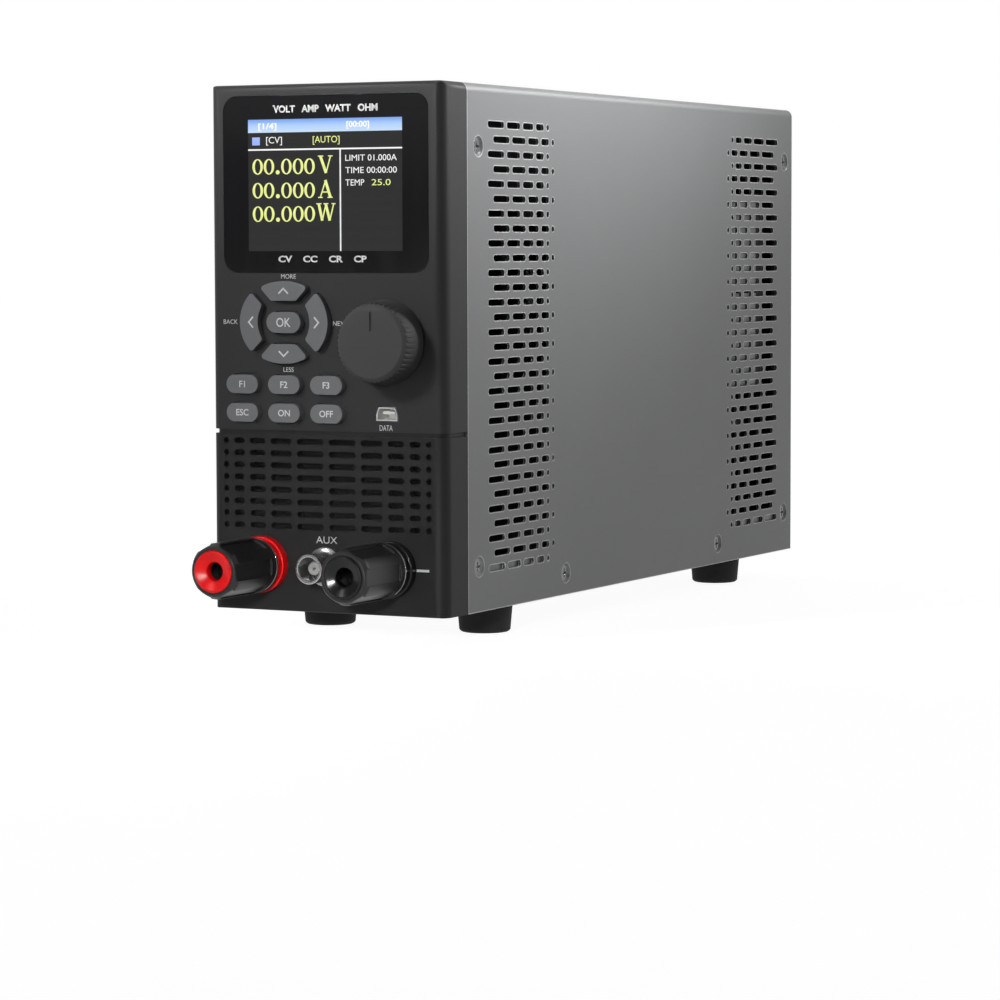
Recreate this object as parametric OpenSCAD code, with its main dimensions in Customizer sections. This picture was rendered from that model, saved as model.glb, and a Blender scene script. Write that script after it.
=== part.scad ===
// Bench dc electronic load: slim upright case, front display and keypad, screw terminals below.
// Case frame: x from the middle of the case, y from the front face to the rear, z from the underside.

/* [Case] */
// Width across the sides of the cover
body_w = 88; // [88:0.5:104]
// Height of the case without its feet
body_h = 173.4; // [173.4:0.2:190]
// Depth from the front face to the rear edge of the cover
body_d = 296.7; // [290:0.1:330]
// Sheet thickness of the folded cover
cover_t = 1; // [0.8:0.1:1.2]
// Sheet thickness of the base tray, the rear panel and the inner brackets
tray_t = 1.2; // [0.8:0.1:1.5]
// Outer bend radius along the top edges of the cover
bend_r = 2.8; // [1.6:0.1:4]
// Clearance between sheets and mouldings that slide over each other
sheet_gap = 0.15; // [0.05:0.05:0.3]
// Height of the tray's side flanges behind the cover
flange_h = 16; // [12:0.5:17]
// Height of the tray's ears that take the rear screws
ear_h = 22; // [20:0.5:28]
// Recess of the rear panel inside the rear edge of the cover
rear_recess = 1; // [0:0.5:3]
// Depth of the flanges folded forward from the rear panel
panel_flange = 14; // [12:0.5:20]

/* [Feet] */
// Height of the rubber feet below the case
foot_h = 10; // [8:0.5:20]
// Diameter of a foot where it meets the case
foot_top_d = 19; // [16:0.5:24]
// Diameter of a foot at the floor
foot_floor_d = 17.4; // [15:0.2:22]
// Distance of a foot from the middle of the case
foot_x = 30; // [28:0.5:32]
// Distance of the front feet from the front face
foot_front_y = 55.5; // [48:0.5:90]
// Distance of the rear feet from the rear edge of the cover
foot_rear_in = 43.6; // [40:0.1:70]
// Radius of the screws that hold the feet
foot_screw_r = 2; // [1.5:0.1:2.5]

/* [Front mouldings] */
// Depth of the front mouldings that shows before the cover
bezel_d = 16.1; // [14:0.1:24]
// Wall thickness of the front mouldings
wall_t = 2.7; // [2.3:0.1:3.2]
// Radius of the upright front corners
corner_r = 4.5; // [3:0.1:6]
// Radius of the top front edge
edge_r = 2.2; // [1:0.1:3]
// Radius of the bottom edges
base_edge_r = 0.9; // [0.5:0.1:1.5]
// Height of the seam between the two mouldings
seam_z = 58.4; // [58.4:0.1:59]
// Height of the shadow groove at the seam
seam_h = 1.5; // [1:0.1:1.5]
// Depth of the shadow groove at the seam
seam_in = 0.8; // [0.4:0.1:1]
// Depth of the lip that reaches under the cover
lip_d = 14; // [13:0.5:14.5]
// Radius of the screw bosses inside the lip
lip_boss_r = 4; // [3:0.5:5]
// Length of the screw bosses inside the lip
lip_boss_l = 5; // [3:0.5:6]

/* [Side vents] */
// Height of a vent slot
vent_h = 2.2; // [1.6:0.1:2.6]
// Distance between two vent rows
vent_pitch = 4.88; // [4.5:0.02:6]
// Height of the lowest vent row
vent_low_z = 13.8; // [12:0.2:20]
// Plain sheet left above the top vent row
vent_top_in = 12; // [8:0.5:20]
// Plain sheet left between the ends of the cover and the vents
vent_end_in = 14.9; // [14:0.1:20]
// Shift of every second vent row
vent_shift = 4; // [0:0.5:6]
// Gap between the slots of a row
vent_gap = 2; // [1.5:0.1:3]

/* [Front grille] */
// Height of a grille slot
grille_h = 2; // [1.4:0.1:2.6]
// Distance between two grille rows
grille_pitch = 4; // [3.6:0.1:6]
// Height of the lowest grille row
grille_low_z = 28.2; // [27:0.1:34]
// Plain wall left between the top grille row and the seam
grille_top_in = 1.6; // [1.2:0.1:4]
// Gap between the slots of a row
grille_gap = 2; // [1.5:0.1:2]
// Thickness of the dust filter behind the grille
filter_t = 3; // [2:0.5:5]
// Reach of the dust filter below the lowest grille row
filter_low_in = 3; // [2:0.5:4]
// Gap between the ends of the dust filter and the front moulding
filter_end_in = 2; // [1:0.5:3]

/* [Display] */
// Plain front left beside the display lens
lens_side_in = 5.8; // [5.4:0.1:8]
// Plain front left above the display lens
lens_top_in = 3.8; // [3.6:0.1:6]
// Plain front left between the display lens and the cursor keys
lens_low_in = 2.75; // [2.5:0.05:6]
// Corner radius of the display lens
lens_r = 5; // [2:0.5:8]
// Thickness of the display lens
lens_t = 1.5; // [1:0.1:1.8]
// Clearance round the lens in its recess
lens_gap = 0.15; // [0.1:0.05:0.3]
// Margin of the lens round the display panel
panel_in = 3.6; // [3.6:0.1:8]
// Thickness of the display panel
panel_t = 3.5; // [2:0.1:4]

/* [Keys] */
// Distance of the cursor keys to the left of the middle
pad_x = 14.7; // [14.5:0.1:15]
// Height of the middle of the cursor keys
pad_z = 95.45; // [95:0.05:96]
// Reach of the keys in front of the bezel
key_reach = 2; // [1:0.1:3]
// Clearance round a key in its opening
key_gap = 0.3; // [0.2:0.05:0.4]
// Travel of a key
key_travel = 0.8; // [0.4:0.1:1]
// Width of the collar that retains a key behind the wall
key_collar = 0.9; // [0.6:0.1:1]
// Thickness of the collar that retains a key
key_collar_t = 1; // [0.6:0.1:1.2]
// Width of the middle key
ok_w = 12.8; // [11:0.2:13]
// Height of the middle key
ok_h = 6.9; // [6:0.1:7.1]
// Width of a function key
fkey_w = 12; // [9:0.2:12.6]
// Height of a function key
fkey_h = 6.2; // [5.6:0.1:6.4]
// Distance between function keys in a row
fkey_pitch_x = 15.9; // [15.6:0.1:16.2]
// Height of the upper row of function keys
fkey_high_z = 75; // [74.8:0.1:75.4]
// Distance between the two rows of function keys
fkey_pitch_z = 9.35; // [9:0.05:9.4]
// Half width of the cursor keys together
pad_half_w = 16.6; // [16:0.1:17]
// Half height of the cursor keys together
pad_half_h = 13.6; // [13:0.1:13.8]
// Corner radius of the cursor keys
pad_corner_r = 1; // [0.4:0.1:1.3]
// Gap between neighbouring cursor keys
pad_gap = 3.4; // [3:0.1:4]

/* [Control knob] */
// Distance of the knob to the right of the middle
knob_x = 22.8; // [22:0.1:24]
// Height of the middle of the knob
knob_z = 89.2; // [87:0.1:92]
// Diameter of the knob at the bezel
knob_d = 27.8; // [24:0.2:29]
// Diameter of the knob at its front rim
knob_rim_d = 25.7; // [22:0.1:26]
// Reach of the knob in front of the bezel
knob_reach = 11; // [9:0.5:14]
// Gap between the knob and the bezel
knob_gap = 0.8; // [0.4:0.1:1]
// Number of fine flutes round the knob
knob_flutes = 48; // [24:1:60]
// Radius of the encoder shaft
shaft_r = 3; // [2.5:0.1:3.2]
// Running clearance of the shaft in its bushing
shaft_gap = 0.05; // [0.03:0.01:0.08]
// Radius of the encoder's threaded bushing
bush_r = 4.5; // [4:0.1:4.8]
// Depth of the encoder body between the wall and the board
encoder_h = 6.3; // [6:0.1:7]

/* [Data socket] */
// Width of the data socket
usb_w = 7.8; // [7:0.1:9]
// Height of the data socket
usb_h = 4.4; // [3.8:0.1:5]
// Height of the middle of the data socket
usb_z = 65.9; // [65:0.1:67]

/* [Terminals] */
// Distance of a binding post from the middle
post_x = 24; // [22:0.5:25]
// Height of the terminals
term_z = 15.4; // [14.6:0.1:16]
// Reach of a binding post in front of the panel
post_reach = 33; // [31:0.5:38]
// Radius of the collar against the panel
collar_r = 9.4; // [8.8:0.1:10]
// Thickness of the collar's flange
collar_flange_t = 3.2; // [2:0.1:4]
// Length of the whole collar in front of the panel
collar_l = 5.6; // [4.6:0.1:7]
// Radius of the collar's spigot in the panel
spigot_r = 6; // [5:0.1:7]
// Radius of the threaded stud
stud_r = 4; // [3.6:0.1:4.4]
// Length of the stud behind the panel
stud_tail = 14; // [10:0.5:18]
// Radius of the socket bore in the stud
socket_r = 2; // [1.8:0.05:2.4]
// Distance of the stud's tip behind the end cap
stud_in = 6; // [4:0.5:7]
// Depth of the socket bore in the stud
socket_l = 12; // [9:0.5:12]
// Radius of the clamping washer
washer_r = 9; // [7:0.1:9.2]
// Thickness of the clamping washer
washer_t = 1; // [0.6:0.1:1.5]
// Radius of the thumb nut
nut_r = 9.2; // [8.6:0.1:9.4]
// Radius of the coloured end cap
cap_r = 7; // [6:0.1:7.2]
// Radius of the hole in the end cap
cap_hole_r = 3; // [2.6:0.1:3.4]
// Length of the end cap
cap_l = 4.6; // [3.6:0.1:6]
// Reach of the end cap in front of the thumb nut
cap_proud = 0.7; // [0.4:0.1:1.6]
// Clearance between the thumb nut and the stud
nut_gap = 0.3; // [0.2:0.05:0.4]
// Radius of the coaxial jack's barrel
bnc_r = 4.85; // [4.6:0.05:5]
// Reach of the coaxial jack in front of the panel
bnc_reach = 12.2; // [10:0.2:14]
// Radius of the coaxial jack's flange
bnc_flange_r = 6.4; // [6:0.1:7]
// Radius of the coaxial jack's insulator
bnc_core_r = 2.15; // [1.8:0.05:2.6]

/* [Cooling] */
// Clearance between the legs of the cooling tunnel and the tray's flanges
leg_gap = 0.45; // [0.2:0.05:1]
// Depth of the fan
fan_d = 25; // [20:1:28]
// Height of the middle of the fan and the cooling tunnel
fan_z = 102.4; // [100:0.2:106]
// Number of fan blades
fan_blades = 7; // [5:1:9]
// Clearance of the blade tips in the fan frame
blade_gap = 0.8; // [0.5:0.1:1.5]
// Height of the cooling tunnel
tunnel_h = 75; // [70:1:76]
// Length of the cooling tunnel
tunnel_l = 120; // [110:1:130]
// Split between the two halves of the tunnel
tunnel_gap = 1.2; // [0.6:0.1:2]
// Thickness of the tunnel's base plates
tunnel_base = 6; // [4:0.5:8]
// Thickness of the cooling fins
fin_t = 2; // [1.5:0.1:3]
// Number of cooling fins in each half
fin_count = 9; // [5:1:11]
// Half thickness of the guard's bars
wire_r = 0.9; // [0.8:0.05:1.2]

/* [Power parts] */
// Thickness of the circuit boards
board_t = 1.6; // [1:0.2:2]
// Height of the spacers between the tunnel and the power board
spacer_h = 12.2; // [10:0.2:14]
// Height of the upright main board
main_h = 130; // [90:1:140]
// Length of the spacers between the tray's flange and the main board
main_spacer_l = 6; // [4:0.5:10]
// Thickness of the power transistors
chip_t = 5; // [4:0.5:6]
// Radius of the filter capacitors
can_r = 8; // [5:0.5:9]
// Length of the filter capacitors
can_l = 25; // [15:1:30]
// Width of the transformer core
core_w = 42; // [36:1:46]
// Depth of the transformer core
core_d = 20; // [14:1:24]
// Height of the transformer core
core_h = 36; // [30:1:40]

/* [Mains inlet] */
// Distance of the inlet to the left of the middle
inlet_x = 14; // [12:0.5:16]
// Height of the middle of the inlet and the switch
inlet_z = 32; // [30:0.5:36]
// Width of the inlet's flange
inlet_w = 32; // [31:0.5:36]
// Height of the inlet's flange
inlet_h = 35; // [34:0.5:38]
// Thickness of the inlet's flange
inlet_t = 3; // [2:0.5:4]
// Width of the socket in the inlet
plug_w = 24.6; // [24:0.1:25]
// Height of the socket in the inlet
plug_h = 16.9; // [16.5:0.1:17.2]
// Depth of the socket in the inlet
plug_l = 17; // [14:0.5:19]
// Width of the fuse drawer
drawer_w = 21.4; // [18:0.2:23]
// Height of the fuse drawer
drawer_h = 7.4; // [6:0.2:8]
// Length of the fuse drawer
drawer_l = 19; // [16:0.5:20]
// Clearance round the drawer and the rocker
slide_gap = 0.3; // [0.2:0.05:0.4]
// Distance of the switch to the right of the middle
switch_x = 27; // [24:0.5:30]
// Length of the rocker
rocker_l = 16; // [14:0.5:18]
// Width of the rocker
rocker_w = 10; // [8:0.5:12]
// Tilt of the rocker at rest
rocker_tilt = 10; // [6:1:12]

/* [Hidden] */
$fn = 64;
// Small relief so that cuts pass through the faces they open
over = 1;
// Seating clearance between round pieces that are fixed together
seat = 0.02;
// Running gap between flat faces that move
face_gap = 0.1;

vent_lengths = [12, 10, 8, 6, 2];
grille_lengths = [10, 8, 6, 4, 2];
vent_rows = floor((body_h - vent_low_z - vent_top_in)/vent_pitch) + 1;
grille_rows = floor((seam_z - grille_top_in - grille_low_z)/grille_pitch) + 1;

side_in = cover_t + sheet_gap;
inner_w = body_w - 2*side_in;
tray_inner_x = inner_w/2 - tray_t;
tunnel_w = inner_w - 2*(2*tray_t + leg_gap);
fan_w = tunnel_w;
lip_y = bezel_d + lip_d;
rear_out_y = body_d - rear_recess;
rear_in_y = rear_out_y - tray_t;

screw_r = 1.5;
screw_head_r = 2.6;
screw_head_in = 0.7;
screw_dimple_r = 3.5;
screw_l = (body_w - fan_w)/2 - cover_t - face_gap;
cross_w = 0.7;
cross_l = 3.2;
screw_front_y = bezel_d + 8.1;
screw_rear_y = body_d - 7.7;
screw_high_z = body_h - 20.6;
screw_low_z = 15;
screw_tray_z = 7.5;
screw_tray_y = [90, body_d - 73.2];
side_screws = [
  [screw_front_y, screw_high_z], [screw_front_y, screw_low_z], [screw_tray_y[0], screw_tray_z],
  [screw_tray_y[1], screw_tray_z], [screw_rear_y, screw_high_z], [screw_rear_y, screw_low_z]
];

foot_places = [
  for (y = [foot_front_y, body_d - foot_rear_in], x = [-foot_x, foot_x]) [x, y]
];
foot_head_r = 2*foot_screw_r;
foot_well_r = foot_head_r + 0.5;
foot_well_h = 4;
foot_edge_r = 0.8;
foot_nut_t = 3.2;

key_collar_y = wall_t + face_gap;
key_back_y = key_collar_y + key_collar_t;
plunger_y = key_back_y + key_travel + face_gap;
board_y = wall_t + encoder_h;
tact_w = 6;
tact_h = 3.5;
plunger_r = 1.75;
boss_r = 2.3;
boss_x = body_w/2 - wall_t - 3.4;
lens_w = body_w - 2*lens_side_in;
lens_low_z = pad_z + pad_half_h + lens_low_in;
lens_h = body_h - lens_top_in - lens_low_z;
lens_z = lens_low_z + lens_h/2;
panel_w = lens_w - 2*panel_in;
panel_h = lens_h - 2*panel_in;
boss_z = [84, lens_low_z + 0.8, body_h - wall_t - 3.7];
board_low_z = seam_z + seam_h + 1.5;
board_high_z = body_h - wall_t - 1;
board_half_w = body_w/2 - wall_t - 0.8;
lens_back_y = lens_t;
fkey_places = [
  for (row = [0, 1], col = [-1, 0, 1]) [col*fkey_pitch_x - pad_x, fkey_high_z - row*fkey_pitch_z]
];
arrow_r = 0.78*pad_half_w;
crest_r = 20;
arrow_inner_r = 9.8;
crest_inner = 7.1;
pad_reach_x = 0.8*pad_half_w;
pad_reach_z = 0.76*pad_half_h;

knob_cavity_r = 7.2;
knob_cavity_l = 4.5;
knob_bevel = 1.2;
knob_taper = (knob_d - knob_rim_d)/2/(knob_reach - knob_bevel - knob_gap);
knob_flute_r = 0.5;
knob_flute_in = 0.35;
knob_flute_l = 6;
knob_flute_tilt = atan(knob_taper + knob_flute_in/(knob_flute_l - knob_bevel));
knob_face_r = knob_rim_d/2 - 1.5*knob_bevel;
knob_line_w = 0.7;
knob_line_l = 6.2;
knob_line_in = 0.5;
bush_reach = knob_cavity_l - 0.3;
bush_nut_t = 2;
bush_nut_r = 6.4;
shaft_tip = knob_reach - 2;
encoder_w = 12;
shaft_root = wall_t + encoder_h - 2;

cap_back = post_reach - cap_l;
stud_tip = cap_back - stud_in;
nut_front = post_reach - cap_proud;
nut_back = collar_l + face_gap + washer_t + face_gap;
cap_dish = 1.6;
nut_flats = 6;
nut_flat_w = 5.4;
nut_flat_in = 0.9;
nut_flat_start = 3;
wire_hole_r = 1.6;
wire_hole_at = collar_l + wire_hole_r + 0.5;
collar_step_r = collar_r - 0.6;
post_nut_t = 5;
post_nut_r = 7.5;
bnc_wall = 0.8;
bnc_floor = 2.5;
bnc_tail = 10;
bnc_thread_r = bnc_r - 0.1;
bnc_nut_r = 7.2;
bnc_nut_t = 3;
bnc_core_tip = bnc_reach - 3.6;
contact_r = 0.65;
contact_bore_r = 0.35;

fan_bore_r = fan_w/2 - 2;
fan_screw_at = fan_w/2 - 4.25;
fan_screw_r = 2;
fan_front_y = rear_in_y - fan_d;
fan_hub_r = 15;
fan_plate_t = 3;
fan_strut_w = 3;
fan_axle_r = 1.5;
fan_axle_gap = 0.06;
fan_hub_back = rear_in_y - fan_plate_t - 0.5;
fan_hub_front = fan_front_y + 2;
blade_t = 1.4;
blade_bow_r = 22;
tunnel_front_y = fan_front_y - tunnel_l;
tunnel_half_h = (tunnel_h - tunnel_gap)/2;
fin_pitch = (tunnel_w - fin_t)/(fin_count - 1);
leg_w = 14;
leg_foot = 11;
leg_top_z = fan_z - tunnel_h/2 + 20;
leg_y = [tunnel_front_y + 10, rear_in_y - fan_d - 65];
guard_rings = [0.3, 0.52, 0.74, 0.96];
guard_t = 3*wire_r;
guard_eye_r = 4;
fan_head_r = 3.6;
fan_head_t = 2;
fan_screw_l = 16;
fan_cross_w = 0.8;
fan_cross_in = 1;
fan_corner_r = 4;

tunnel_low_z = fan_z - tunnel_h/2;
power_board_w = tunnel_w - 8;
power_board_front = tunnel_front_y + 2;
power_board_back = fan_front_y - 8;
power_board_top = tunnel_low_z - spacer_h;
spacer_r = 3;
main_x = main_spacer_l - tray_inner_x;
main_front = lip_y + 6;
main_back = tunnel_front_y - 16;
main_low_z = tray_t + 3;
main_spacer_z = flange_h - spacer_r - 2;
main_spacer_y = [main_front + 8, main_back - 8];
baffle_foot = 10;
baffle_top_in = 1;
wire_gate_w = 14;
wire_gate_h = 8;
spacer_places = [
  for (x = [-1, 1], y = [power_board_front + 5, power_board_back - 5]) [x*(power_board_w/2 - 5), y]
];
chip_w = 16;
chip_d = 21;
chip_lead = 1.2;
chip_y = [tunnel_front_y + 0.27*tunnel_l, tunnel_front_y + 0.72*tunnel_l];
chip_x = 20;
can_x = 22;
can_y = [for (part = [0.14, 0.64, 0.8]) tunnel_front_y + part*tunnel_l];
core_x = 0;
core_y = tunnel_front_y + 0.43*tunnel_l;
core_bolt_r = 2;
coil_over = 7;
core_ear = 8;
core_foot_t = 1.5;
core_head_t = 1.4;

inlet_body_w = plug_w + 3;
inlet_body_h = inlet_h - 4;
inlet_body_l = 26;
plug_z = inlet_z + inlet_body_h/2 - plug_h/2 - 1.5;
drawer_z = inlet_z - inlet_body_h/2 + drawer_h/2 + slide_gap + 1.5;
plug_chamfer = 5;
inlet_corner_r = 2;
pin_w = 2;
pin_h = 4;
pin_pitch = 7;
pin_rise = 2;
pin_in = 3;
pin_tail = 8;
drawer_lip = 1.5;
drawer_lip_h = 2;
drawer_wall = 2;
switch_flange = 2;
switch_rim = 1.5;
switch_corner_r = 1;
switch_body_l = 16;
switch_well_l = 9;
switch_wall = 1.2;
switch_w = rocker_w + 2*(slide_gap + switch_wall);
switch_h = rocker_l + 1.4 + 2*switch_wall;
rocker_pivot = 1;
rocker_end = 2;
rocker_mid = 1.2;
rocker_heel = 3.2;
rocker_depth = 5;
rocker_pin_r = 1.2;
rocker_pin_in = 0.3;
rocker_tip = rocker_end*cos(rocker_tilt) + rocker_l/2*sin(rocker_tilt);
rear_reach = max(rocker_pivot + rocker_tip, inlet_t + drawer_lip) - rear_recess;

front_y = post_reach - (post_reach + body_d + rear_reach)/2;

// Places children from the case frame into the part's frame
module in_case() {
  translate([0, front_y, foot_h])
    children();
}

// Extrudes an outline drawn in x and z from depth y0 to depth y1
module slab_y(y0, y1) {
  translate([0, y1, 0])
    rotate([90, 0, 0])
      linear_extrude(y1 - y0)
        children();
}

// Extrudes an outline drawn in y and z from x0 to x1
module slab_x(x0, x1) {
  translate([x0, 0, 0])
    rotate([90, 0, 90])
      linear_extrude(x1 - x0)
        children();
}

// Revolves a profile of radius and reach about an axis that points out of the front
module turned(x, z) {
  translate([x, 0, z])
    rotate([90, 0, 0])
      rotate_extrude()
        children();
}

// Round bar along the depth, from y0 to y1
module bar_y(x, z, r, y0, y1) {
  translate([x, y0, z])
    rotate([-90, 0, 0])
      cylinder(r = r, h = y1 - y0);
}

// Six-sided nut along the depth, from y0 to y1
module nut_y(x, z, r, bore, y0, y1) {
  difference() {
    translate([x, y0, z])
      rotate([-90, 0, 0])
        cylinder(r = r, h = y1 - y0, $fn = 6);
    bar_y(x, z, bore, y0 - over, y1 + over);
  }
}

// Rectangle about the origin with round corners
module rounded(w, h, r) {
  square([w - 2*r, h], center = true);
  square([w, h - 2*r], center = true);
  for (x = [-1, 1], y = [-1, 1])
    translate([x*(w/2 - r), y*(h/2 - r)])
      circle(r);
}

// Slot with round ends, of length l from its left end
module slot(l, h) {
  if (l > h + 0.2) {
    translate([h/2, -h/2])
      square([l - h, h]);
    translate([h/2, 0])
      circle(h/2);
    translate([l - h/2, 0])
      circle(h/2);
  } else {
    translate([l/2, 0])
      circle(min(l, h)/2);
  }
}

// Start of slot i in a row of slots with the given lengths
function slot_start(lengths, gap, i) =
  i == 0 ? 0 : slot_start(lengths, gap, i - 1) + lengths[i - 1] + gap;

// One column of staggered vent rows, in y and z
module vent_column() {
  for (row = [0:vent_rows - 1], i = [0:len(vent_lengths) - 1])
    translate([
      bezel_d + vent_end_in + slot_start(vent_lengths, vent_gap, i) + (row % 2)*vent_shift,
      vent_low_z + row*vent_pitch
    ])
      slot(vent_lengths[i], vent_h);
}

// Both vent columns of a side, in y and z
module side_vents() {
  vent_column();
  translate([bezel_d + body_d, 0])
    mirror([1, 0])
      vent_column();
}

// Cross-section of the cover in x and z, grown inwards by inset
module cover_section(inset) {
  r = bend_r - inset;
  w = body_w - 2*inset;
  h = body_h - inset;
  translate([-w/2, -over*(inset > 0 ? 1 : 0)])
    square([w, h - r + over*(inset > 0 ? 1 : 0)]);
  translate([-w/2 + r, h - r - over])
    square([w - 2*r, r + over]);
  for (x = [-1, 1])
    translate([x*(w/2 - r), h - r])
      circle(r);
}

// Countersunk screw standing along +z with its head's face at the origin's depth
module screw_profile(gap) {
  polygon([
    [0, -screw_head_in], [screw_head_r + gap, -screw_head_in], [screw_r + gap, -cover_t],
    [screw_r + gap, -cover_t - screw_l], [0, -cover_t - screw_l]
  ]);
}

// Puts children at each side screw, with +z pointing out of the cover
module at_side_screws(places) {
  for (side = [-1, 1], p = places)
    translate([side*body_w/2, p[0], p[1]])
      rotate([0, side*90, 0])
        children();
}

// Hole for a screw's shank through whatever lies behind the cover
module screw_holes(places) {
  at_side_screws(places)
    translate([0, 0, -cover_t - screw_l - over])
      cylinder(r = screw_r + seat, h = screw_l + over + cover_t/2);
}

module top_cover() {
  color("#8a8d90")
    in_case()
      difference() {
        slab_y(bezel_d, body_d)
          difference() {
            cover_section(0);
            cover_section(cover_t);
          }
        slab_x(-body_w/2 - over, body_w/2 + over)
          side_vents();
        at_side_screws(side_screws)
          rotate_extrude()
            screw_profile(seat);
        at_side_screws(side_screws)
          translate([0, 0, -screw_head_in])
            cylinder(r1 = screw_head_r + seat, r2 = screw_dimple_r, h = screw_head_in + 0.01);
      }
}

module cover_screws() {
  color("silver")
    in_case()
      at_side_screws(side_screws)
        difference() {
          rotate_extrude()
            screw_profile(0);
          for (turn = [0, 90])
            rotate([0, 0, turn])
              translate([-cross_l/2, -cross_w/2, -screw_head_in - 0.5])
                cube([cross_l, cross_w, over]);
        }
}

// Folded tray: floor, side flanges behind the cover and two ears for the rear screws
module base_tray() {
  color("#b9bcbe")
    in_case()
      difference() {
        union() {
          translate([-inner_w/2, bezel_d + sheet_gap, 0])
            cube([inner_w, rear_out_y - bezel_d - sheet_gap, tray_t]);
          for (x = [-inner_w/2, tray_inner_x]) {
            translate([x, lip_y + sheet_gap, 0])
              cube([tray_t, rear_out_y - lip_y - sheet_gap, flange_h]);
            translate([x, rear_out_y - panel_flange, 0])
              cube([tray_t, panel_flange, ear_h]);
          }
        }
        screw_holes([for (i = [2, 3, 5]) side_screws[i]]);
        for (p = foot_places)
          translate([p[0], p[1], -over])
            cylinder(r = foot_screw_r + seat, h = tray_t + 2*over);
        at_core_bolts()
          translate([0, 0, -over])
            cylinder(r = core_bolt_r + seat, h = tray_t + 2*over);
      }
}

// Rear panel with flanges folded forward on three sides and a foot on the tray
module rear_panel() {
  top_z = body_h - side_in;
  color("#6f7275")
    in_case()
      difference() {
        union() {
          translate([-tray_inner_x + sheet_gap, rear_in_y, tray_t])
            cube([2*(tray_inner_x - sheet_gap), tray_t, ear_h]);
          translate([-inner_w/2, rear_in_y, ear_h + sheet_gap])
            cube([inner_w, tray_t, top_z - ear_h - sheet_gap]);
          for (x = [-inner_w/2, tray_inner_x])
            translate([x, rear_out_y - panel_flange, ear_h + sheet_gap])
              cube([tray_t, panel_flange, top_z - ear_h - sheet_gap - bend_r]);
          translate([-inner_w/2 + bend_r, rear_out_y - panel_flange, top_z - tray_t])
            cube([inner_w - 2*bend_r, panel_flange, tray_t]);
          translate([-foot_x, rear_out_y - panel_flange, tray_t])
            cube([2*foot_x, panel_flange, tray_t]);
        }
        bar_y(0, fan_z, fan_bore_r, rear_in_y - over, rear_out_y + over);
        fan_corners()
          bar_y(0, 0, fan_screw_r + seat, rear_in_y - over, rear_out_y + over);
        slab_y(rear_in_y - over, rear_out_y + over)
          rear_openings();
        screw_holes([side_screws[4]]);
        for (x = [-1, 1])
          translate([x*(inner_w/2 - bend_r/2), rear_in_y - over, top_z - bend_r/2])
            rotate([-90, 0, 0])
              rear_corner_cut();
      }
}

// Cut-outs for the inlet and the switch, in x and z
module rear_openings() {
  translate([-inlet_x, inlet_z])
    square([inlet_body_w + 2*sheet_gap, inlet_body_h + 2*sheet_gap], center = true);
  translate([switch_x, inlet_z])
    square([switch_w + 2*sheet_gap, switch_h + 2*sheet_gap], center = true);
}

// Relief that keeps the rear panel's top corners clear of the cover's bends
module rear_corner_cut() {
  translate([-bend_r/2 - 0.01, -bend_r/2 - 0.01, 0])
    cube([bend_r + 0.02, bend_r + 0.02, tray_t + 2*over]);
}

module foot(p) {
  top_r = foot_top_d/2;
  floor_r = foot_floor_d/2;
  color("#1a1a1a")
    in_case()
      translate([p[0], p[1], -foot_h])
        rotate_extrude()
          polygon([
            [foot_screw_r + seat, foot_well_h], [foot_well_r, foot_well_h], [foot_well_r, 0],
            [floor_r - foot_edge_r, 0], [floor_r, foot_edge_r], [top_r, foot_h],
            [foot_screw_r + seat, foot_h]
          ]);
}

module foot_front_left() {
  foot(foot_places[0]);
}

module foot_front_right() {
  foot(foot_places[1]);
}

module foot_rear_left() {
  foot(foot_places[2]);
}

module foot_rear_right() {
  foot(foot_places[3]);
}

// A screw up through each foot and a nut on the tray
module foot_bolts() {
  head_t = 0.6*foot_well_h;
  color("silver")
    in_case()
      for (p = foot_places)
        translate([p[0], p[1], 0]) {
          translate([0, 0, foot_well_h - foot_h - head_t])
            cylinder(r = foot_head_r, h = head_t);
          translate([0, 0, foot_well_h - foot_h])
            cylinder(r = foot_screw_r, h = foot_h - foot_well_h + tray_t + foot_nut_t + 0.8);
          translate([0, 0, tray_t])
            difference() {
              cylinder(r = foot_head_r, h = foot_nut_t, $fn = 6);
              translate([0, 0, -over])
                cylinder(r = foot_screw_r + seat, h = foot_nut_t + 2*over);
            }
        }
}

// Plan of the front mouldings in x and y, drawn in by inset at the front and sides
module front_plan(inset) {
  w = body_w/2 - inset;
  r = corner_r;
  translate([-w + r, inset])
    square([2*(w - r), bezel_d - inset]);
  translate([-w, inset + r])
    square([2*w, bezel_d - inset - r]);
  for (x = [-1, 1])
    translate([x*(w - r), inset + r])
      circle(r);
}

// Outline of the mouldings seen from the front, in x and z
module front_face() {
  cover_section(0);
}

// Outline of the mouldings seen from the side, in y and z
module front_side() {
  translate([edge_r, 0])
    square([bezel_d - edge_r, body_h]);
  translate([0, base_edge_r])
    square([bezel_d, body_h - base_edge_r - edge_r]);
  translate([edge_r, body_h - edge_r])
    circle(edge_r);
  translate([base_edge_r, base_edge_r])
    circle(base_edge_r);
  translate([base_edge_r, 0])
    square([edge_r, base_edge_r]);
}

// Outer block of both mouldings between two heights
module front_block(z0, z1, inset) {
  intersection() {
    translate([0, 0, z0])
      linear_extrude(z1 - z0)
        front_plan(inset);
    slab_y(-over, bezel_d + over)
      front_face();
    slab_x(-body_w, body_w)
      front_side();
  }
}

// Lip that reaches under the cover, between two heights
module front_lip(z0, z1) {
  r = bend_r - cover_t;
  z_low = tray_t + sheet_gap;
  z_high = body_h - side_in;
  slab_y(bezel_d - over, lip_y)
    intersection() {
      translate([0, (z_low + z_high)/2])
        rounded(inner_w, z_high - z_low, r);
      translate([-body_w/2, z0])
        square([body_w, z1 - z0]);
    }
}

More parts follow.
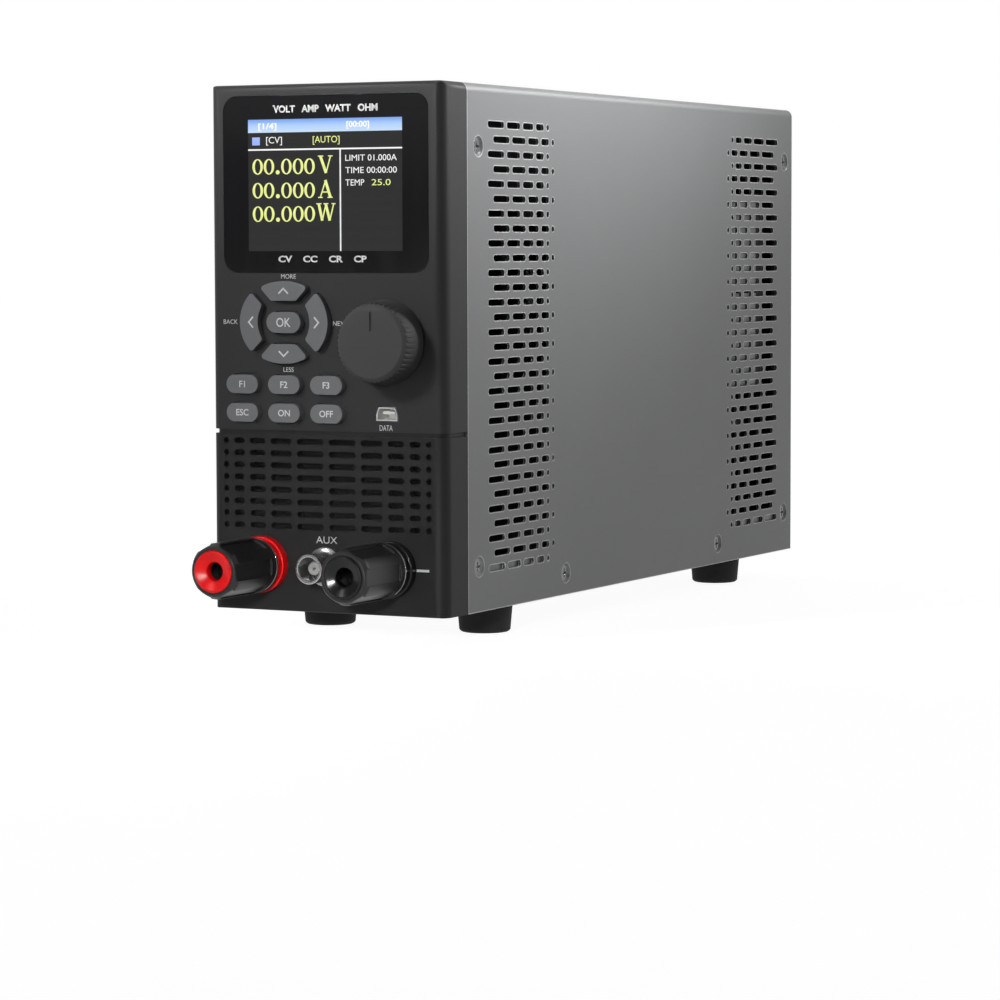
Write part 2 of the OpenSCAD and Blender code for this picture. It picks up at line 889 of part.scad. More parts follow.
// Hollow inside both mouldings, open to the rear
module front_hollow() {
  translate([-body_w/2 + wall_t, wall_t, wall_t])
    cube([body_w - 2*wall_t, lip_y, body_h - 2*wall_t]);
}

// Bosses inside the lip that take the front cover screws
module lip_bosses(p) {
  at_side_screws([p])
    translate([0, 0, -wall_t - lip_boss_l])
      cylinder(r = lip_boss_r, h = lip_boss_l + 0.5);
}

// Outline of a key with full round ends
module stadium(w, h) {
  translate([-w/2, 0])
    slot(w, h);
}

// Outline of the left or right cursor key about the middle of the pad, pointing to +x
module side_arrow() {
  reach = 2*pad_half_w;
  tip = pad_gap/sqrt(2);
  offset(r = pad_corner_r, $fn = 32)
    offset(delta = -pad_corner_r)
      difference() {
        intersection() {
          translate([pad_half_w - arrow_r, 0])
            circle(arrow_r, $fn = 96);
          polygon([[tip, 0], [reach + tip, reach], [reach + tip, -reach]]);
        }
        circle(arrow_inner_r, $fn = 96);
      }
}

// Outline of the upper or lower cursor key about the middle of the pad, pointing to +y
module crest_arrow() {
  reach = 2*pad_half_h;
  tip = pad_gap/sqrt(2);
  offset(r = pad_corner_r, $fn = 32)
    offset(delta = -pad_corner_r)
      intersection() {
        translate([0, pad_half_h - crest_r])
          circle(crest_r, $fn = 180);
        polygon([[0, tip], [reach, reach + tip], [-reach, reach + tip]]);
        translate([-reach, crest_inner])
          square([2*reach, reach]);
      }
}

// Outline of cursor key i: 0 right, 1 up, 2 left, 3 down
module arrow_outline(i) {
  if (i % 2 == 0)
    rotate(i*90)
      side_arrow();
  else
    rotate((i - 1)*90)
      crest_arrow();
}

// Outline of cursor key i grown by a margin, in its place on the front
module arrow_shape(i, grow) {
  translate([-pad_x, pad_z])
    offset(delta = grow)
      arrow_outline(i);
}

module ok_shape(grow) {
  translate([-pad_x, pad_z])
    stadium(ok_w + 2*grow, ok_h + 2*grow);
}

module fkey_shape(i, grow) {
  translate(fkey_places[i])
    stadium(fkey_w + 2*grow, fkey_h + 2*grow);
}

// Outline of the data socket, wider in its lower half
module usb_shape(grow) {
  w = usb_w/2 + grow;
  h = usb_h/2 + grow;
  translate([knob_x, usb_z])
    polygon([[-w, -h], [w, -h], [w, -0.1*h], [0.78*w, h], [-0.78*w, h], [-w, -0.1*h]]);
}

// Every opening in the upper moulding's front wall
module bezel_openings() {
  for (i = [0:3])
    arrow_shape(i, key_gap);
  ok_shape(key_gap);
  for (i = [0:5])
    fkey_shape(i, key_gap);
  usb_shape(key_gap);
  translate([knob_x, knob_z])
    circle(bush_r + seat);
  translate([0, lens_z])
    square([panel_w + 2*lens_gap, panel_h + 2*lens_gap], center = true);
}

// Upper front moulding: display recess, key openings, board bosses and the lip under the cover
module front_bezel() {
  low_z = seam_z + seam_h;
  color("#343536")
    in_case()
      difference() {
        union() {
          difference() {
            union() {
              front_block(low_z, body_h, 0);
              front_lip(low_z, body_h);
            }
            front_hollow();
          }
          lip_bosses(side_screws[0]);
          for (x = [-1, 1], z = boss_z)
            bar_y(x*boss_x, z, boss_r, wall_t - 0.5, board_y);
        }
        slab_y(-over, lens_back_y)
          translate([0, lens_z])
            rounded(lens_w + 2*lens_gap, lens_h + 2*lens_gap, lens_r + lens_gap);
        slab_y(-over, wall_t + over)
          bezel_openings();
        screw_holes([side_screws[0]]);
      }
}

// One row of grille slots on both sides of the middle
module grille_row() {
  for (side = [-1, 1], i = [0:len(grille_lengths) - 1])
    scale([side, 1])
      translate([grille_gap/2 + slot_start(grille_lengths, grille_gap, i), 0])
        slot(grille_lengths[i], grille_h);
}

// Lower front moulding: grille, terminal holes and the tongue under the seam
module terminal_panel() {
  top_z = seam_z + seam_h;
  color("#2f3031")
    in_case()
      difference() {
        union() {
          difference() {
            union() {
              front_block(0, seam_z, 0);
              front_block(seam_z - over, top_z, seam_in);
              front_lip(0, top_z);
            }
            front_hollow();
          }
          lip_bosses(side_screws[1]);
        }
        slab_y(-over, wall_t + over)
          for (row = [0:grille_rows - 1])
            translate([0, grille_low_z + row*grille_pitch])
              grille_row();
        for (x = [-post_x, post_x])
          bar_y(x, term_z, spigot_r + seat, -over, wall_t + over);
        bar_y(0, term_z, bnc_thread_r + seat, -over, wall_t + over);
        screw_holes([side_screws[1]]);
      }
}

// Foam pad against the inside of the grille
module dust_filter() {
  half_w = body_w/2 - wall_t - filter_end_in;
  color("#1b1b1b")
    in_case()
      translate([-half_w, wall_t, grille_low_z - filter_low_in])
        cube([2*half_w, filter_t, seam_z - grille_low_z + filter_low_in]);
}

module display_lens() {
  color("#111214")
    in_case()
      slab_y(0, lens_t)
        translate([0, lens_z])
          rounded(lens_w, lens_h, lens_r);
}

// Display panel against the lens, with its light box behind it on the board
module display_module() {
  color("#4a5a66")
    in_case() {
      slab_y(lens_back_y, lens_back_y + panel_t)
        translate([0, lens_z])
          square([panel_w, panel_h], center = true);
      slab_y(lens_back_y + panel_t, board_y)
        translate([0, lens_z])
          square([0.9*panel_w, 0.9*panel_h], center = true);
    }
}

// Centres of the switches under the keys
function tact_places() = concat(
  [
    [pad_reach_x - pad_x, pad_z], [-pad_x, pad_z + pad_reach_z],
    [-pad_reach_x - pad_x, pad_z], [-pad_x, pad_z - pad_reach_z], [-pad_x, pad_z]
  ],
  fkey_places
);

// Board behind the front wall with a switch under each key
module control_board() {
  color("#1f5c3a")
    in_case() {
      slab_y(board_y, board_y + board_t)
        translate([-board_half_w, board_low_z])
          square([2*board_half_w, board_high_z - board_low_z]);
      for (p = tact_places()) {
        slab_y(board_y - tact_h, board_y + 0.2)
          translate(p)
            square(tact_w, center = true);
        bar_y(p[0], p[1], plunger_r, plunger_y, board_y - tact_h + 0.2);
      }
    }
}

// A key: its face through the wall and a collar that holds it behind the wall
module key_arrow(i) {
  color("#66686b")
    in_case() {
      slab_y(-key_reach, key_back_y)
        arrow_shape(i, 0);
      slab_y(key_collar_y, key_back_y)
        arrow_shape(i, key_collar);
    }
}

module key_right() {
  key_arrow(0);
}

module key_up() {
  key_arrow(1);
}

module key_left() {
  key_arrow(2);
}

module key_down() {
  key_arrow(3);
}

module key_ok() {
  color("#66686b")
    in_case() {
      slab_y(-key_reach, key_back_y)
        ok_shape(0);
      slab_y(key_collar_y, key_back_y)
        ok_shape(key_collar);
    }
}

module key_function(i) {
  color("#66686b")
    in_case() {
      slab_y(-key_reach, key_back_y)
        fkey_shape(i, 0);
      slab_y(key_collar_y, key_back_y)
        fkey_shape(i, key_collar);
    }
}

module encoder_body() {
  color("#8d9296")
    in_case()
      difference() {
        union() {
          slab_y(wall_t, board_y)
            translate([knob_x, knob_z])
              square(encoder_w, center = true);
          bar_y(knob_x, knob_z, bush_r, -bush_reach, wall_t + 0.5);
        }
        bar_y(knob_x, knob_z, shaft_r + shaft_gap, -bush_reach - over, shaft_root + face_gap);
      }
}

module encoder_shaft() {
  color("silver")
    in_case()
      bar_y(knob_x, knob_z, shaft_r, -shaft_tip, shaft_root);
}

// Tapered knob with a bevelled rim, flutes that run out behind the rim, and a pointer groove
module control_knob() {
  skirt_r = knob_d/2;
  rim_r = knob_rim_d/2;
  color("#3a3b3c")
    in_case()
      difference() {
        turned(knob_x, knob_z)
          polygon([
            [0, knob_reach], [knob_face_r, knob_reach], [rim_r, knob_reach - knob_bevel],
            [skirt_r, knob_gap], [knob_cavity_r, knob_gap], [knob_cavity_r, knob_cavity_l],
            [shaft_r + seat, knob_cavity_l], [shaft_r + seat, shaft_tip + seat], [0, shaft_tip + seat]
          ]);
        for (i = [0:knob_flutes - 1])
          translate([knob_x, 0, knob_z])
            rotate([0, i*360/knob_flutes, 0])
              translate([0, knob_bevel - knob_reach, rim_r + knob_flute_r - knob_flute_in])
                rotate([knob_flute_tilt - 90, 0, 0])
                  translate([0, 0, -knob_bevel - over])
                    cylinder(r = knob_flute_r, h = knob_bevel + over + knob_flute_l, $fn = 24);
        translate([
          knob_x - knob_line_w/2, -knob_reach - over, knob_z + knob_face_r - over - knob_line_l
        ])
          cube([knob_line_w, over + knob_line_in, knob_line_l]);
      }
}

module usb_socket() {
  shell_t = 0.35;
  color("silver")
    in_case() {
      slab_y(-0.3, board_y)
        difference() {
          usb_shape(0);
          usb_shape(-shell_t);
        }
      slab_y(board_y - 1.5, board_y)
        usb_shape(-shell_t/2);
      slab_y(1.2, board_y - 1)
        translate([knob_x, usb_z + 0.4])
          square([0.56*usb_w, 0.2*usb_h], center = true);
    }
}

// Insulating collar of a binding post, with its spigot through the panel
module post_collar(x, tint) {
  color(tint)
    in_case()
      turned(x, term_z)
        polygon([
          [stud_r + seat, -wall_t], [spigot_r, -wall_t], [spigot_r, 0], [collar_r, 0],
          [collar_r, collar_flange_t], [collar_step_r, collar_flange_t], [collar_step_r, collar_l],
          [stud_r + seat, collar_l]
        ]);
}

// Threaded stud with the socket bore in its tip and a cross hole for wire
module post_stud(x) {
  color("silver")
    in_case()
      difference() {
        turned(x, term_z)
          polygon([
            [0, -stud_tail], [stud_r, -stud_tail], [stud_r, stud_tip], [socket_r, stud_tip],
            [socket_r, stud_tip - socket_l], [0, stud_tip - socket_l]
          ]);
        translate([x, -wire_hole_at, term_z - stud_r - over])
          cylinder(r = wire_hole_r, h = 2*(stud_r + over));
      }
}

module post_washer(x) {
  color("silver")
    in_case()
      turned(x, term_z)
        translate([stud_r + nut_gap, collar_l + face_gap])
          square([washer_r - stud_r - nut_gap, washer_t]);
}

// Thumb nut with six long flats and a seat for the end cap
module post_nut(x) {
  color("#232425")
    in_case()
      difference() {
        turned(x, term_z)
          polygon([
            [stud_r + nut_gap, nut_back], [nut_r - 0.7, nut_back], [nut_r, nut_back + 1],
            [nut_r, nut_front - 2], [cap_r + 1, nut_front], [cap_r + seat, nut_front],
            [cap_r + seat, cap_back], [stud_r + nut_gap, cap_back]
          ]);
        for (i = [0:nut_flats - 1])
          translate([x, 0, term_z])
            rotate([0, (i + 0.5)*360/nut_flats, 0])
              translate([-nut_flat_w/2, -nut_front - over, nut_r - nut_flat_in])
                cube([nut_flat_w, nut_front + over - nut_back - nut_flat_start, nut_flat_in + over]);
      }
}

module post_cap(x, tint) {
  color(tint)
    in_case()
      turned(x, term_z)
        polygon([
          [cap_hole_r, cap_back], [cap_r, cap_back], [cap_r, post_reach - 0.5],
          [cap_r - 0.5, post_reach], [cap_hole_r, post_reach - cap_dish]
        ]);
}

module red_collar() {
  post_collar(-post_x, "#d11f1f");
}

module red_stud() {
  post_stud(-post_x);
}

module red_washer() {
  post_washer(-post_x);
}

module red_thumb_nut() {
  post_nut(-post_x);
}

module red_end_cap() {
  post_cap(-post_x, "#e02222");
}

module black_collar() {
  post_collar(post_x, "#1b1b1c");
}

module black_stud() {
  post_stud(post_x);
}

module black_washer() {
  post_washer(post_x);
}

module black_thumb_nut() {
  post_nut(post_x);
}

module black_end_cap() {
  post_cap(post_x, "#1b1b1c");
}

// Coaxial jack: flange, barrel with two bayonet studs, and a threaded tail through the panel
module bnc_shell() {
  lug_r = 1;
  color("#c9cacb")
    in_case() {
      turned(0, term_z)
        polygon([
          [bnc_core_r + seat, -bnc_tail], [bnc_thread_r, -bnc_tail], [bnc_thread_r, 0], [bnc_flange_r, 0],
          [bnc_flange_r, 1.6], [bnc_r, 2.2], [bnc_r, bnc_reach], [bnc_r - bnc_wall, bnc_reach],
          [bnc_r - bnc_wall, bnc_floor], [bnc_core_r + seat, bnc_floor]
        ]);
      for (side = [-1, 1])
        translate([side*(bnc_r - 0.4), -0.76*bnc_reach, term_z])
          rotate([0, side*90, 0])
            cylinder(r = lug_r, h = 1.3);
    }
}

module bnc_insulator() {
  color("#e6e4dc")
    in_case()
      turned(0, term_z)
        translate([contact_r + seat, -bnc_tail])
          square([bnc_core_r - contact_r - seat, bnc_tail + bnc_core_tip]);
}

module bnc_contact() {
  color("#c9a24a")
    in_case()
      turned(0, term_z)
        polygon([
          [0, -bnc_tail - 3], [contact_r, -bnc_tail - 3], [contact_r, bnc_core_tip - 0.3],
          [contact_bore_r, bnc_core_tip - 0.3], [contact_bore_r, bnc_core_tip - 5], [0, bnc_core_tip - 5]
        ]);
}

// Nuts that hold the terminals, the coaxial jack and the encoder to the front
module panel_nuts() {
  color("silver")
    in_case() {
      for (x = [-post_x, post_x])
        nut_y(x, term_z, post_nut_r, stud_r + seat, wall_t, wall_t + post_nut_t);
      nut_y(0, term_z, bnc_nut_r, bnc_thread_r + seat, wall_t, wall_t + bnc_nut_t);
      nut_y(knob_x, knob_z, bush_nut_r, bush_r + seat, -bush_nut_t, 0);
    }
}

// Upper half of the tunnel in x and z: base plate on top, fins down to the split
module tunnel_half() {
  translate([-tunnel_w/2, tunnel_gap/2 + tunnel_half_h - tunnel_base])
    square([tunnel_w, tunnel_base]);
  for (i = [0:fin_count - 1])
    translate([-tunnel_w/2 + i*fin_pitch, tunnel_gap/2])
      square([fin_t, tunnel_half_h]);
}

module heatsink_halves() {
  color("#a7aaad")
    in_case()
      translate([0, 0, fan_z])
        for (half = [0, 1])
          slab_y(tunnel_front_y, fan_front_y)
            mirror([0, half])
              tunnel_half();
}

// Baffle across the case round the mouth of the tunnel, with a foot on the tray and a gate for wires
module tunnel_baffle() {
  half_w = tray_inner_x - leg_gap;
  difference() {
    translate([-half_w, tunnel_front_y - tray_t, tray_t])
      cube([2*half_w, tray_t, body_h - cover_t - baffle_top_in - tray_t]);
    translate([fin_t - tunnel_w/2, tunnel_front_y - tray_t - over, tunnel_low_z + tunnel_base])
      cube([tunnel_w - 2*fin_t, tray_t + 2*over, tunnel_h - 2*tunnel_base]);
    translate([half_w - 2*wire_gate_w, tunnel_front_y - tray_t - over, 2*tray_t])
      cube([wire_gate_w, tray_t + 2*over, wire_gate_h]);
  }
  translate([-half_w, tunnel_front_y - baffle_foot, tray_t])
    cube([2*half_w, baffle_foot, tray_t]);
}

// Legs under the cooling tunnel and the baffle at its mouth
module tunnel_brackets() {
  color("#b9bcbe")
    in_case() {
      tunnel_baffle();
      for (side = [0, 1], y = leg_y)
        mirror([side, 0, 0]) {
          translate([tunnel_w/2, y, tray_t])
            cube([tray_t, leg_w, leg_top_z - tray_t]);
          translate([tunnel_w/2 + tray_t - leg_foot, y, tray_t])
            cube([leg_foot, leg_w, tray_t]);
        }
    }
}

// Upright board along the left side, ahead of the tunnel
module main_board() {
  color("#22382c")
    in_case()
      translate([main_x, main_front, main_low_z])
        cube([board_t, main_back - main_front, main_h]);
}

module power_board() {
  color("#1f5c3a")
    in_case()
      translate([-power_board_w/2, power_board_front, power_board_top - board_t])
        cube([power_board_w, power_board_back - power_board_front, board_t]);
}

module board_spacers() {
  color("#c9a24a")
    in_case() {
      for (p = spacer_places)
        translate([p[0], p[1], power_board_top])
          cylinder(r = spacer_r, h = spacer_h);
      for (y = main_spacer_y)
        translate([-tray_inner_x, y, main_spacer_z])
          rotate([0, 90, 0])
            cylinder(r = spacer_r, h = main_spacer_l);
    }
}

// Transistors flat against the tunnel, with their leads bent down to the board
module power_transistors() {
  color("#202122")
    in_case()
      for (x = [-chip_x, chip_x], y = chip_y)
        translate([x, y, 0]) {
          translate([-chip_w/2, -chip_d/2, tunnel_low_z - chip_t])
            cube([chip_w, chip_d, chip_t]);
          for (lead = [-1, 0, 1])
            translate([lead*chip_w/3 - chip_lead/2, -chip_d/2 - chip_lead + 0.2, power_board_top])
              cube([chip_lead, chip_lead, spacer_h - chip_t/2]);
        }
}

module power_capacitors() {
  color("#2b3a55")
    in_case()
      for (y = can_y)
        translate([can_x, y, power_board_top - board_t - can_l])
          cylinder(r = can_r, h = can_l);
}

// Puts children at the two bolts of the transformer, on the tray's underside
module at_core_bolts() {
  for (x = [-1, 1])
    translate([core_x + x*(core_w/2 + core_ear/2), core_y, 0])
      children();
}

// Transformer: stacked core, wound bobbin and a foot bolted to the tray
module transformer() {
  coil_w = 0.56*core_w;
  coil_d = core_d + 2*coil_over;
  color("#55504a")
    in_case()
      difference() {
        translate([core_x, core_y, tray_t]) {
          translate([-core_w/2, -core_d/2, 0])
            cube([core_w, core_d, core_h]);
          translate([-coil_w/2, -coil_d/2, 0.2*core_h])
            cube([coil_w, coil_d, 0.6*core_h]);
          translate([-core_w/2 - core_ear, -core_d/2, 0])
            cube([core_w + 2*core_ear, core_d, core_foot_t]);
        }
        at_core_bolts()
          cylinder(r = core_bolt_r + seat, h = tray_t + core_foot_t + over);
      }
}

// Bolts up through the tray and the transformer's foot, each with a nut
module core_bolts() {
  stack = tray_t + core_foot_t;
  color("silver")
    in_case()
      at_core_bolts() {
        translate([0, 0, -core_head_t])
          cylinder(r = 1.6*core_bolt_r, h = core_head_t);
        translate([0, 0, -core_head_t/2])
          cylinder(r = core_bolt_r, h = core_head_t/2 + stack + 2*core_bolt_r);
        translate([0, 0, stack])
          difference() {
            cylinder(r = 1.8*core_bolt_r, h = 1.4*core_bolt_r, $fn = 6);
            translate([0, 0, -over])
              cylinder(r = core_bolt_r + seat, h = 2*core_bolt_r + over);
          }
      }
}

// Puts children at the four corner holes of the fan, in x and z
module fan_corners() {
  for (x = [-1, 1], z = [-1, 1])
    translate([x*fan_screw_at, 0, fan_z + z*fan_screw_at])
      children();
}

// Outline of the fan frame in x and z
module fan_ring() {
  difference() {
    rounded(fan_w, fan_w, fan_corner_r);
    circle(fan_bore_r);
    for (x = [-1, 1], z = [-1, 1])
      translate([x*fan_screw_at, z*fan_screw_at])
        circle(fan_screw_r + seat);
  }
}

// Motor plate on three struts that end inside the frame, in x and z
module fan_spider() {
  difference() {
    union() {
      circle(fan_hub_r);
      for (i = [0:2])
        rotate(i*120 + 20)
          translate([0, -fan_strut_w/2])
            square([fan_bore_r + 1, fan_strut_w]);
    }
    circle(fan_axle_r + fan_axle_gap);
  }
}

// Square fan frame with its motor plate and three struts on the rear side
module fan_frame() {
  color("#1f2021")
    in_case() {
      slab_y(fan_front_y, rear_in_y)
        translate([0, fan_z])
          fan_ring();
      slab_y(rear_in_y - fan_plate_t, rear_in_y)
        translate([0, fan_z])
          fan_spider();
    }
}

// Rotor: cup, bowed blades and an axle in the motor plate
module fan_rotor() {
  tip_r = fan_bore_r - blade_gap;
  blade_l = fan_hub_back - fan_hub_front - 2;
  mid_y = (fan_hub_back + fan_hub_front)/2;
  color("#2a2b2c")
    in_case() {
      bar_y(0, fan_z, fan_hub_r, fan_hub_front, fan_hub_back);
      bar_y(0, fan_z, fan_axle_r, fan_hub_back - over, rear_in_y - 0.8);
      intersection() {
        bar_y(0, fan_z, tip_r, fan_hub_front + 1, fan_hub_back - 1);
        for (i = [0:fan_blades - 1])
          translate([0, mid_y, fan_z])
            rotate([0, i*360/fan_blades, 0])
              translate([0, 0, fan_hub_r - 0.6])
                linear_extrude(tip_r)
                  rotate(45)
                    blade_section(1.5*blade_l);
      }
    }
}

// Bowed blade section of chord l about the origin
module blade_section(l) {
  sag = blade_bow_r - sqrt(blade_bow_r*blade_bow_r - l*l/4);
  translate([0, -blade_bow_r + sag/2])
    intersection() {
      difference() {
        circle(blade_bow_r + blade_t/2, $fn = 96);
        circle(blade_bow_r - blade_t/2, $fn = 96);
      }
      translate([-l/2, 0])
        square([l, 2*blade_bow_r]);
    }
}

// Guard: concentric rings on four spokes that end in screw eyes
module fan_guard() {
  spoke_l = fan_screw_at*sqrt(2);
  color("#c2c4c6")
    in_case()
      difference() {
        union() {
          for (share = guard_rings)
            slab_y(rear_out_y + wire_r, rear_out_y + guard_t)
              translate([0, fan_z])
                difference() {
                  circle(share*fan_bore_r + wire_r);
                  circle(share*fan_bore_r - wire_r);
                }
          slab_y(rear_out_y, rear_out_y + 2*wire_r)
            translate([0, fan_z])
              for (i = [0:3])
                rotate(45 + i*90)
                  translate([guard_rings[0]*fan_bore_r - wire_r, -wire_r])
                    square([spoke_l - guard_rings[0]*fan_bore_r, 2*wire_r]);
          fan_corners()
            bar_y(0, 0, guard_eye_r, rear_out_y, rear_out_y + 2*wire_r);
        }
        fan_corners()
          bar_y(0, 0, fan_screw_r + seat, rear_out_y - over, rear_out_y + 4*wire_r);
      }
}

module fan_bolts() {
  eye_y = rear_out_y + 2*wire_r;
  color("#3a3b3c")
    in_case()
      fan_corners()
        difference() {
          union() {
            bar_y(0, 0, fan_screw_r, eye_y - fan_screw_l, eye_y + 0.5);
            bar_y(0, 0, fan_head_r, eye_y, eye_y + fan_head_t);
          }
          for (turn = [0, 90])
            rotate([0, turn, 0])
              translate([-fan_screw_r, eye_y + fan_head_t - fan_cross_in, -fan_cross_w/2])
                cube([2*fan_screw_r, fan_cross_in + over, fan_cross_w]);
        }
}

// Screws of the chassis: those of the feet, the transformer and the fan
module chassis_screws() {
  foot_bolts();
  core_bolts();
  fan_bolts();
}

// Socket outline of the inlet: two corners cut on the earth side
module plug_shape() {
  w = plug_w/2;
  h = plug_h/2;
  cut = plug_chamfer;
  translate([-inlet_x, plug_z])
    polygon([[-w, -h], [w, -h], [w, h - cut], [w - cut, h], [cut - w, h], [-w, h - cut]]);
}

// Inlet that snaps into the panel: flange, plug socket above and the fuse drawer's slot below
module inlet_housing() {
  face_y = rear_out_y + inlet_t;
  color("#1d1e1f")
    in_case()
      difference() {
        union() {
          slab_y(rear_out_y, face_y)
            translate([-inlet_x, inlet_z])
              rounded(inlet_w, inlet_h, inlet_corner_r);
          slab_y(face_y - inlet_body_l, rear_out_y + 0.5)
            translate([-inlet_x, inlet_z])
              square([inlet_body_w, inlet_body_h], center = true);
        }
        slab_y(face_y - plug_l, face_y + over)
          plug_shape();
        slab_y(face_y - drawer_l - slide_gap, face_y + over)
          translate([-inlet_x, drawer_z])
            square([drawer_w + 2*slide_gap, drawer_h + 2*slide_gap], center = true);
        inlet_pin_bars(seat);
      }
}

// The three flat pins, grown by a margin for their seats
module inlet_pin_bars(grow) {
  face_y = rear_out_y + inlet_t;
  for (i = [-1, 0, 1])
    translate([
      -inlet_x + i*pin_pitch - pin_w/2 - grow,
      face_y - inlet_body_l - pin_tail,
      plug_z - pin_h/2 - grow + (i == 0 ? pin_rise : -pin_rise)
    ])
      cube([pin_w + 2*grow, inlet_body_l + pin_tail - pin_in, pin_h + 2*grow]);
}

module inlet_pins() {
  color("silver")
    in_case()
      inlet_pin_bars(0);
}

// Fuse drawer with a well for the fuse and a lip to pull it by
module fuse_drawer() {
  face_y = rear_out_y + inlet_t;
  color("#26282a")
    in_case()
      difference() {
        union() {
          slab_y(face_y - drawer_l, face_y)
            translate([-inlet_x, drawer_z])
              square([drawer_w, drawer_h], center = true);
          slab_y(face_y - 0.5, face_y + drawer_lip)
            translate([-inlet_x, drawer_z - drawer_h/2 + drawer_lip_h/2])
              square([0.5*drawer_w, drawer_lip_h], center = true);
        }
        translate([-inlet_x - 0.4*drawer_w, face_y - drawer_l + drawer_wall, drawer_z - drawer_h/4])
          cube([0.8*drawer_w, drawer_l - 3*drawer_wall, drawer_h]);
      }
}

// Switch body: flange on the panel and a well for the rocker
module switch_housing() {
  face_y = rear_out_y + switch_flange;
  color("#1d1e1f")
    in_case()
      difference() {
        union() {
          slab_y(rear_out_y, face_y)
            translate([switch_x, inlet_z])
              rounded(switch_w + 2*switch_rim, switch_h + 2*switch_rim, switch_corner_r);
          slab_y(face_y - switch_body_l, rear_out_y + 0.5)
            translate([switch_x, inlet_z])
              square([switch_w, switch_h], center = true);
        }
        slab_y(face_y - switch_well_l, face_y + over)
          translate([switch_x, inlet_z])
            square([rocker_w + 2*slide_gap, switch_h - 2*switch_wall], center = true);
        translate([switch_x - switch_w/2, rear_out_y + rocker_pivot, inlet_z])
          rotate([0, 90, 0])
            cylinder(r = rocker_pin_r + shaft_gap, h = switch_w);
      }
}

// Rocker on two trunnions, resting with its lower end out
module rocker_switch() {
  l = rocker_l/2;
  color("#1a1a1b")
    in_case()
      translate([switch_x, rear_out_y + rocker_pivot, inlet_z])
        rotate([rocker_tilt, 0, 0]) {
          slab_x(-rocker_w/2, rocker_w/2)
            polygon([
              [rocker_end, l], [rocker_mid, 0], [rocker_end, -l],
              [-rocker_heel, -0.85*l], [-rocker_depth, 0], [-rocker_heel, 0.85*l]
            ]);
          translate([rocker_pin_in - switch_w/2, 0, 0])
            rotate([0, 90, 0])
              cylinder(r = rocker_pin_r, h = switch_w - 2*rocker_pin_in);
        }
}

top_cover();
base_tray();
rear_panel();
cover_screws();
foot_front_left();
foot_front_right();
foot_rear_left();
foot_rear_right();
chassis_screws();
front_bezel();
terminal_panel();
dust_filter();
display_lens();
display_module();
control_board();
key_up();
key_down();
key_left();
key_right();
key_ok();
key_function(0);  // key_f1
key_function(1);  // key_f2
key_function(2);  // key_f3
key_function(3);  // key_f4
key_function(4);  // key_f5
key_function(5);  // key_f6
encoder_body();
encoder_shaft();
control_knob();
usb_socket();
red_collar();
red_stud();
red_washer();
red_thumb_nut();
red_end_cap();
black_collar();
black_stud();
black_washer();
black_thumb_nut();
black_end_cap();
bnc_shell();
bnc_insulator();
bnc_contact();
panel_nuts();
heatsink_halves();
tunnel_brackets();
main_board();
power_board();
board_spacers();
power_transistors();
power_capacitors();
transformer();
fan_frame();
fan_rotor();
fan_guard();
inlet_housing();
inlet_pins();
fuse_drawer();
switch_housing();
rocker_switch();
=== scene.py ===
import math

import bmesh
import bpy
from mathutils import Matrix, Vector


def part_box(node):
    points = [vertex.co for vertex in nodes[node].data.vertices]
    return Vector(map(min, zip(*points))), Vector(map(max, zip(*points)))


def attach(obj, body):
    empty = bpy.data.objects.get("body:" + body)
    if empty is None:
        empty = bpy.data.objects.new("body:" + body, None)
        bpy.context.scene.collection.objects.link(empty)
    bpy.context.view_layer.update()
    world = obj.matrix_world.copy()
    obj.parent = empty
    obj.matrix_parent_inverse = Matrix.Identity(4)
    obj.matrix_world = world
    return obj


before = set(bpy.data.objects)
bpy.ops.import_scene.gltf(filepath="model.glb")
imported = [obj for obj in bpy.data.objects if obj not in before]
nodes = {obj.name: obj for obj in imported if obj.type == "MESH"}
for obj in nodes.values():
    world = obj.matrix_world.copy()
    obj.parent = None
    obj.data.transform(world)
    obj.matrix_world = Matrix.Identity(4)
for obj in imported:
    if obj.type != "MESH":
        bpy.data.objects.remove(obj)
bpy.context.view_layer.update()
mm = 0.001
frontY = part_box("display_lens")[0].y  # the front plane of the case
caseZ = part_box("terminal_panel")[0].z  # the underside of the case
print("frame loaded,", len(nodes), "nodes")


def hexColour(code):
    # sRGB hex to the linear values a shader takes
    parts = [int(code[i:i + 2], 16) / 255 for i in (1, 3, 5)]
    return [p / 12.92 if p <= 0.04045 else ((p + 0.055) / 1.055) ** 2.4 for p in parts] + [1.0]


def addNode(tree, kind, settings=None, links=None):
    # settings go to inputs or attributes by name, links join inputs to other nodes' outputs
    node = tree.nodes.new(kind)
    for key, value in (settings or {}).items():
        if isinstance(key, int) or key in node.inputs:
            node.inputs[key].default_value = value
        else:
            setattr(node, key, value)
    for key, socket in (links or {}).items():
        tree.links.new(socket, node.inputs[key])
    return node


def startMaterial(name):
    material = bpy.data.materials.new(name)
    material.use_nodes = True
    material.node_tree.nodes.clear()
    place = addNode(material.node_tree, "ShaderNodeTexCoord").outputs["Object"]
    return material, material.node_tree, place


def endMaterial(material, shader):
    tree = material.node_tree
    addNode(tree, "ShaderNodeOutputMaterial", None, {"Surface": shader.outputs[0]})
    return material


# how every finish mixes its noises and finds the edges where it paints a highlight
surfaceMix = {
    "fineShare": 0.4, "toneFrom": 0.45, "toneTo": 0.95, "glossFrom": 0.25, "glossTo": 0.75, "relief": 0.5,
    "edgeFrom": 0.995, "edgeTo": 0.95, "edgeSamples": 6, "highlightColour": "#f4f4f4",
}


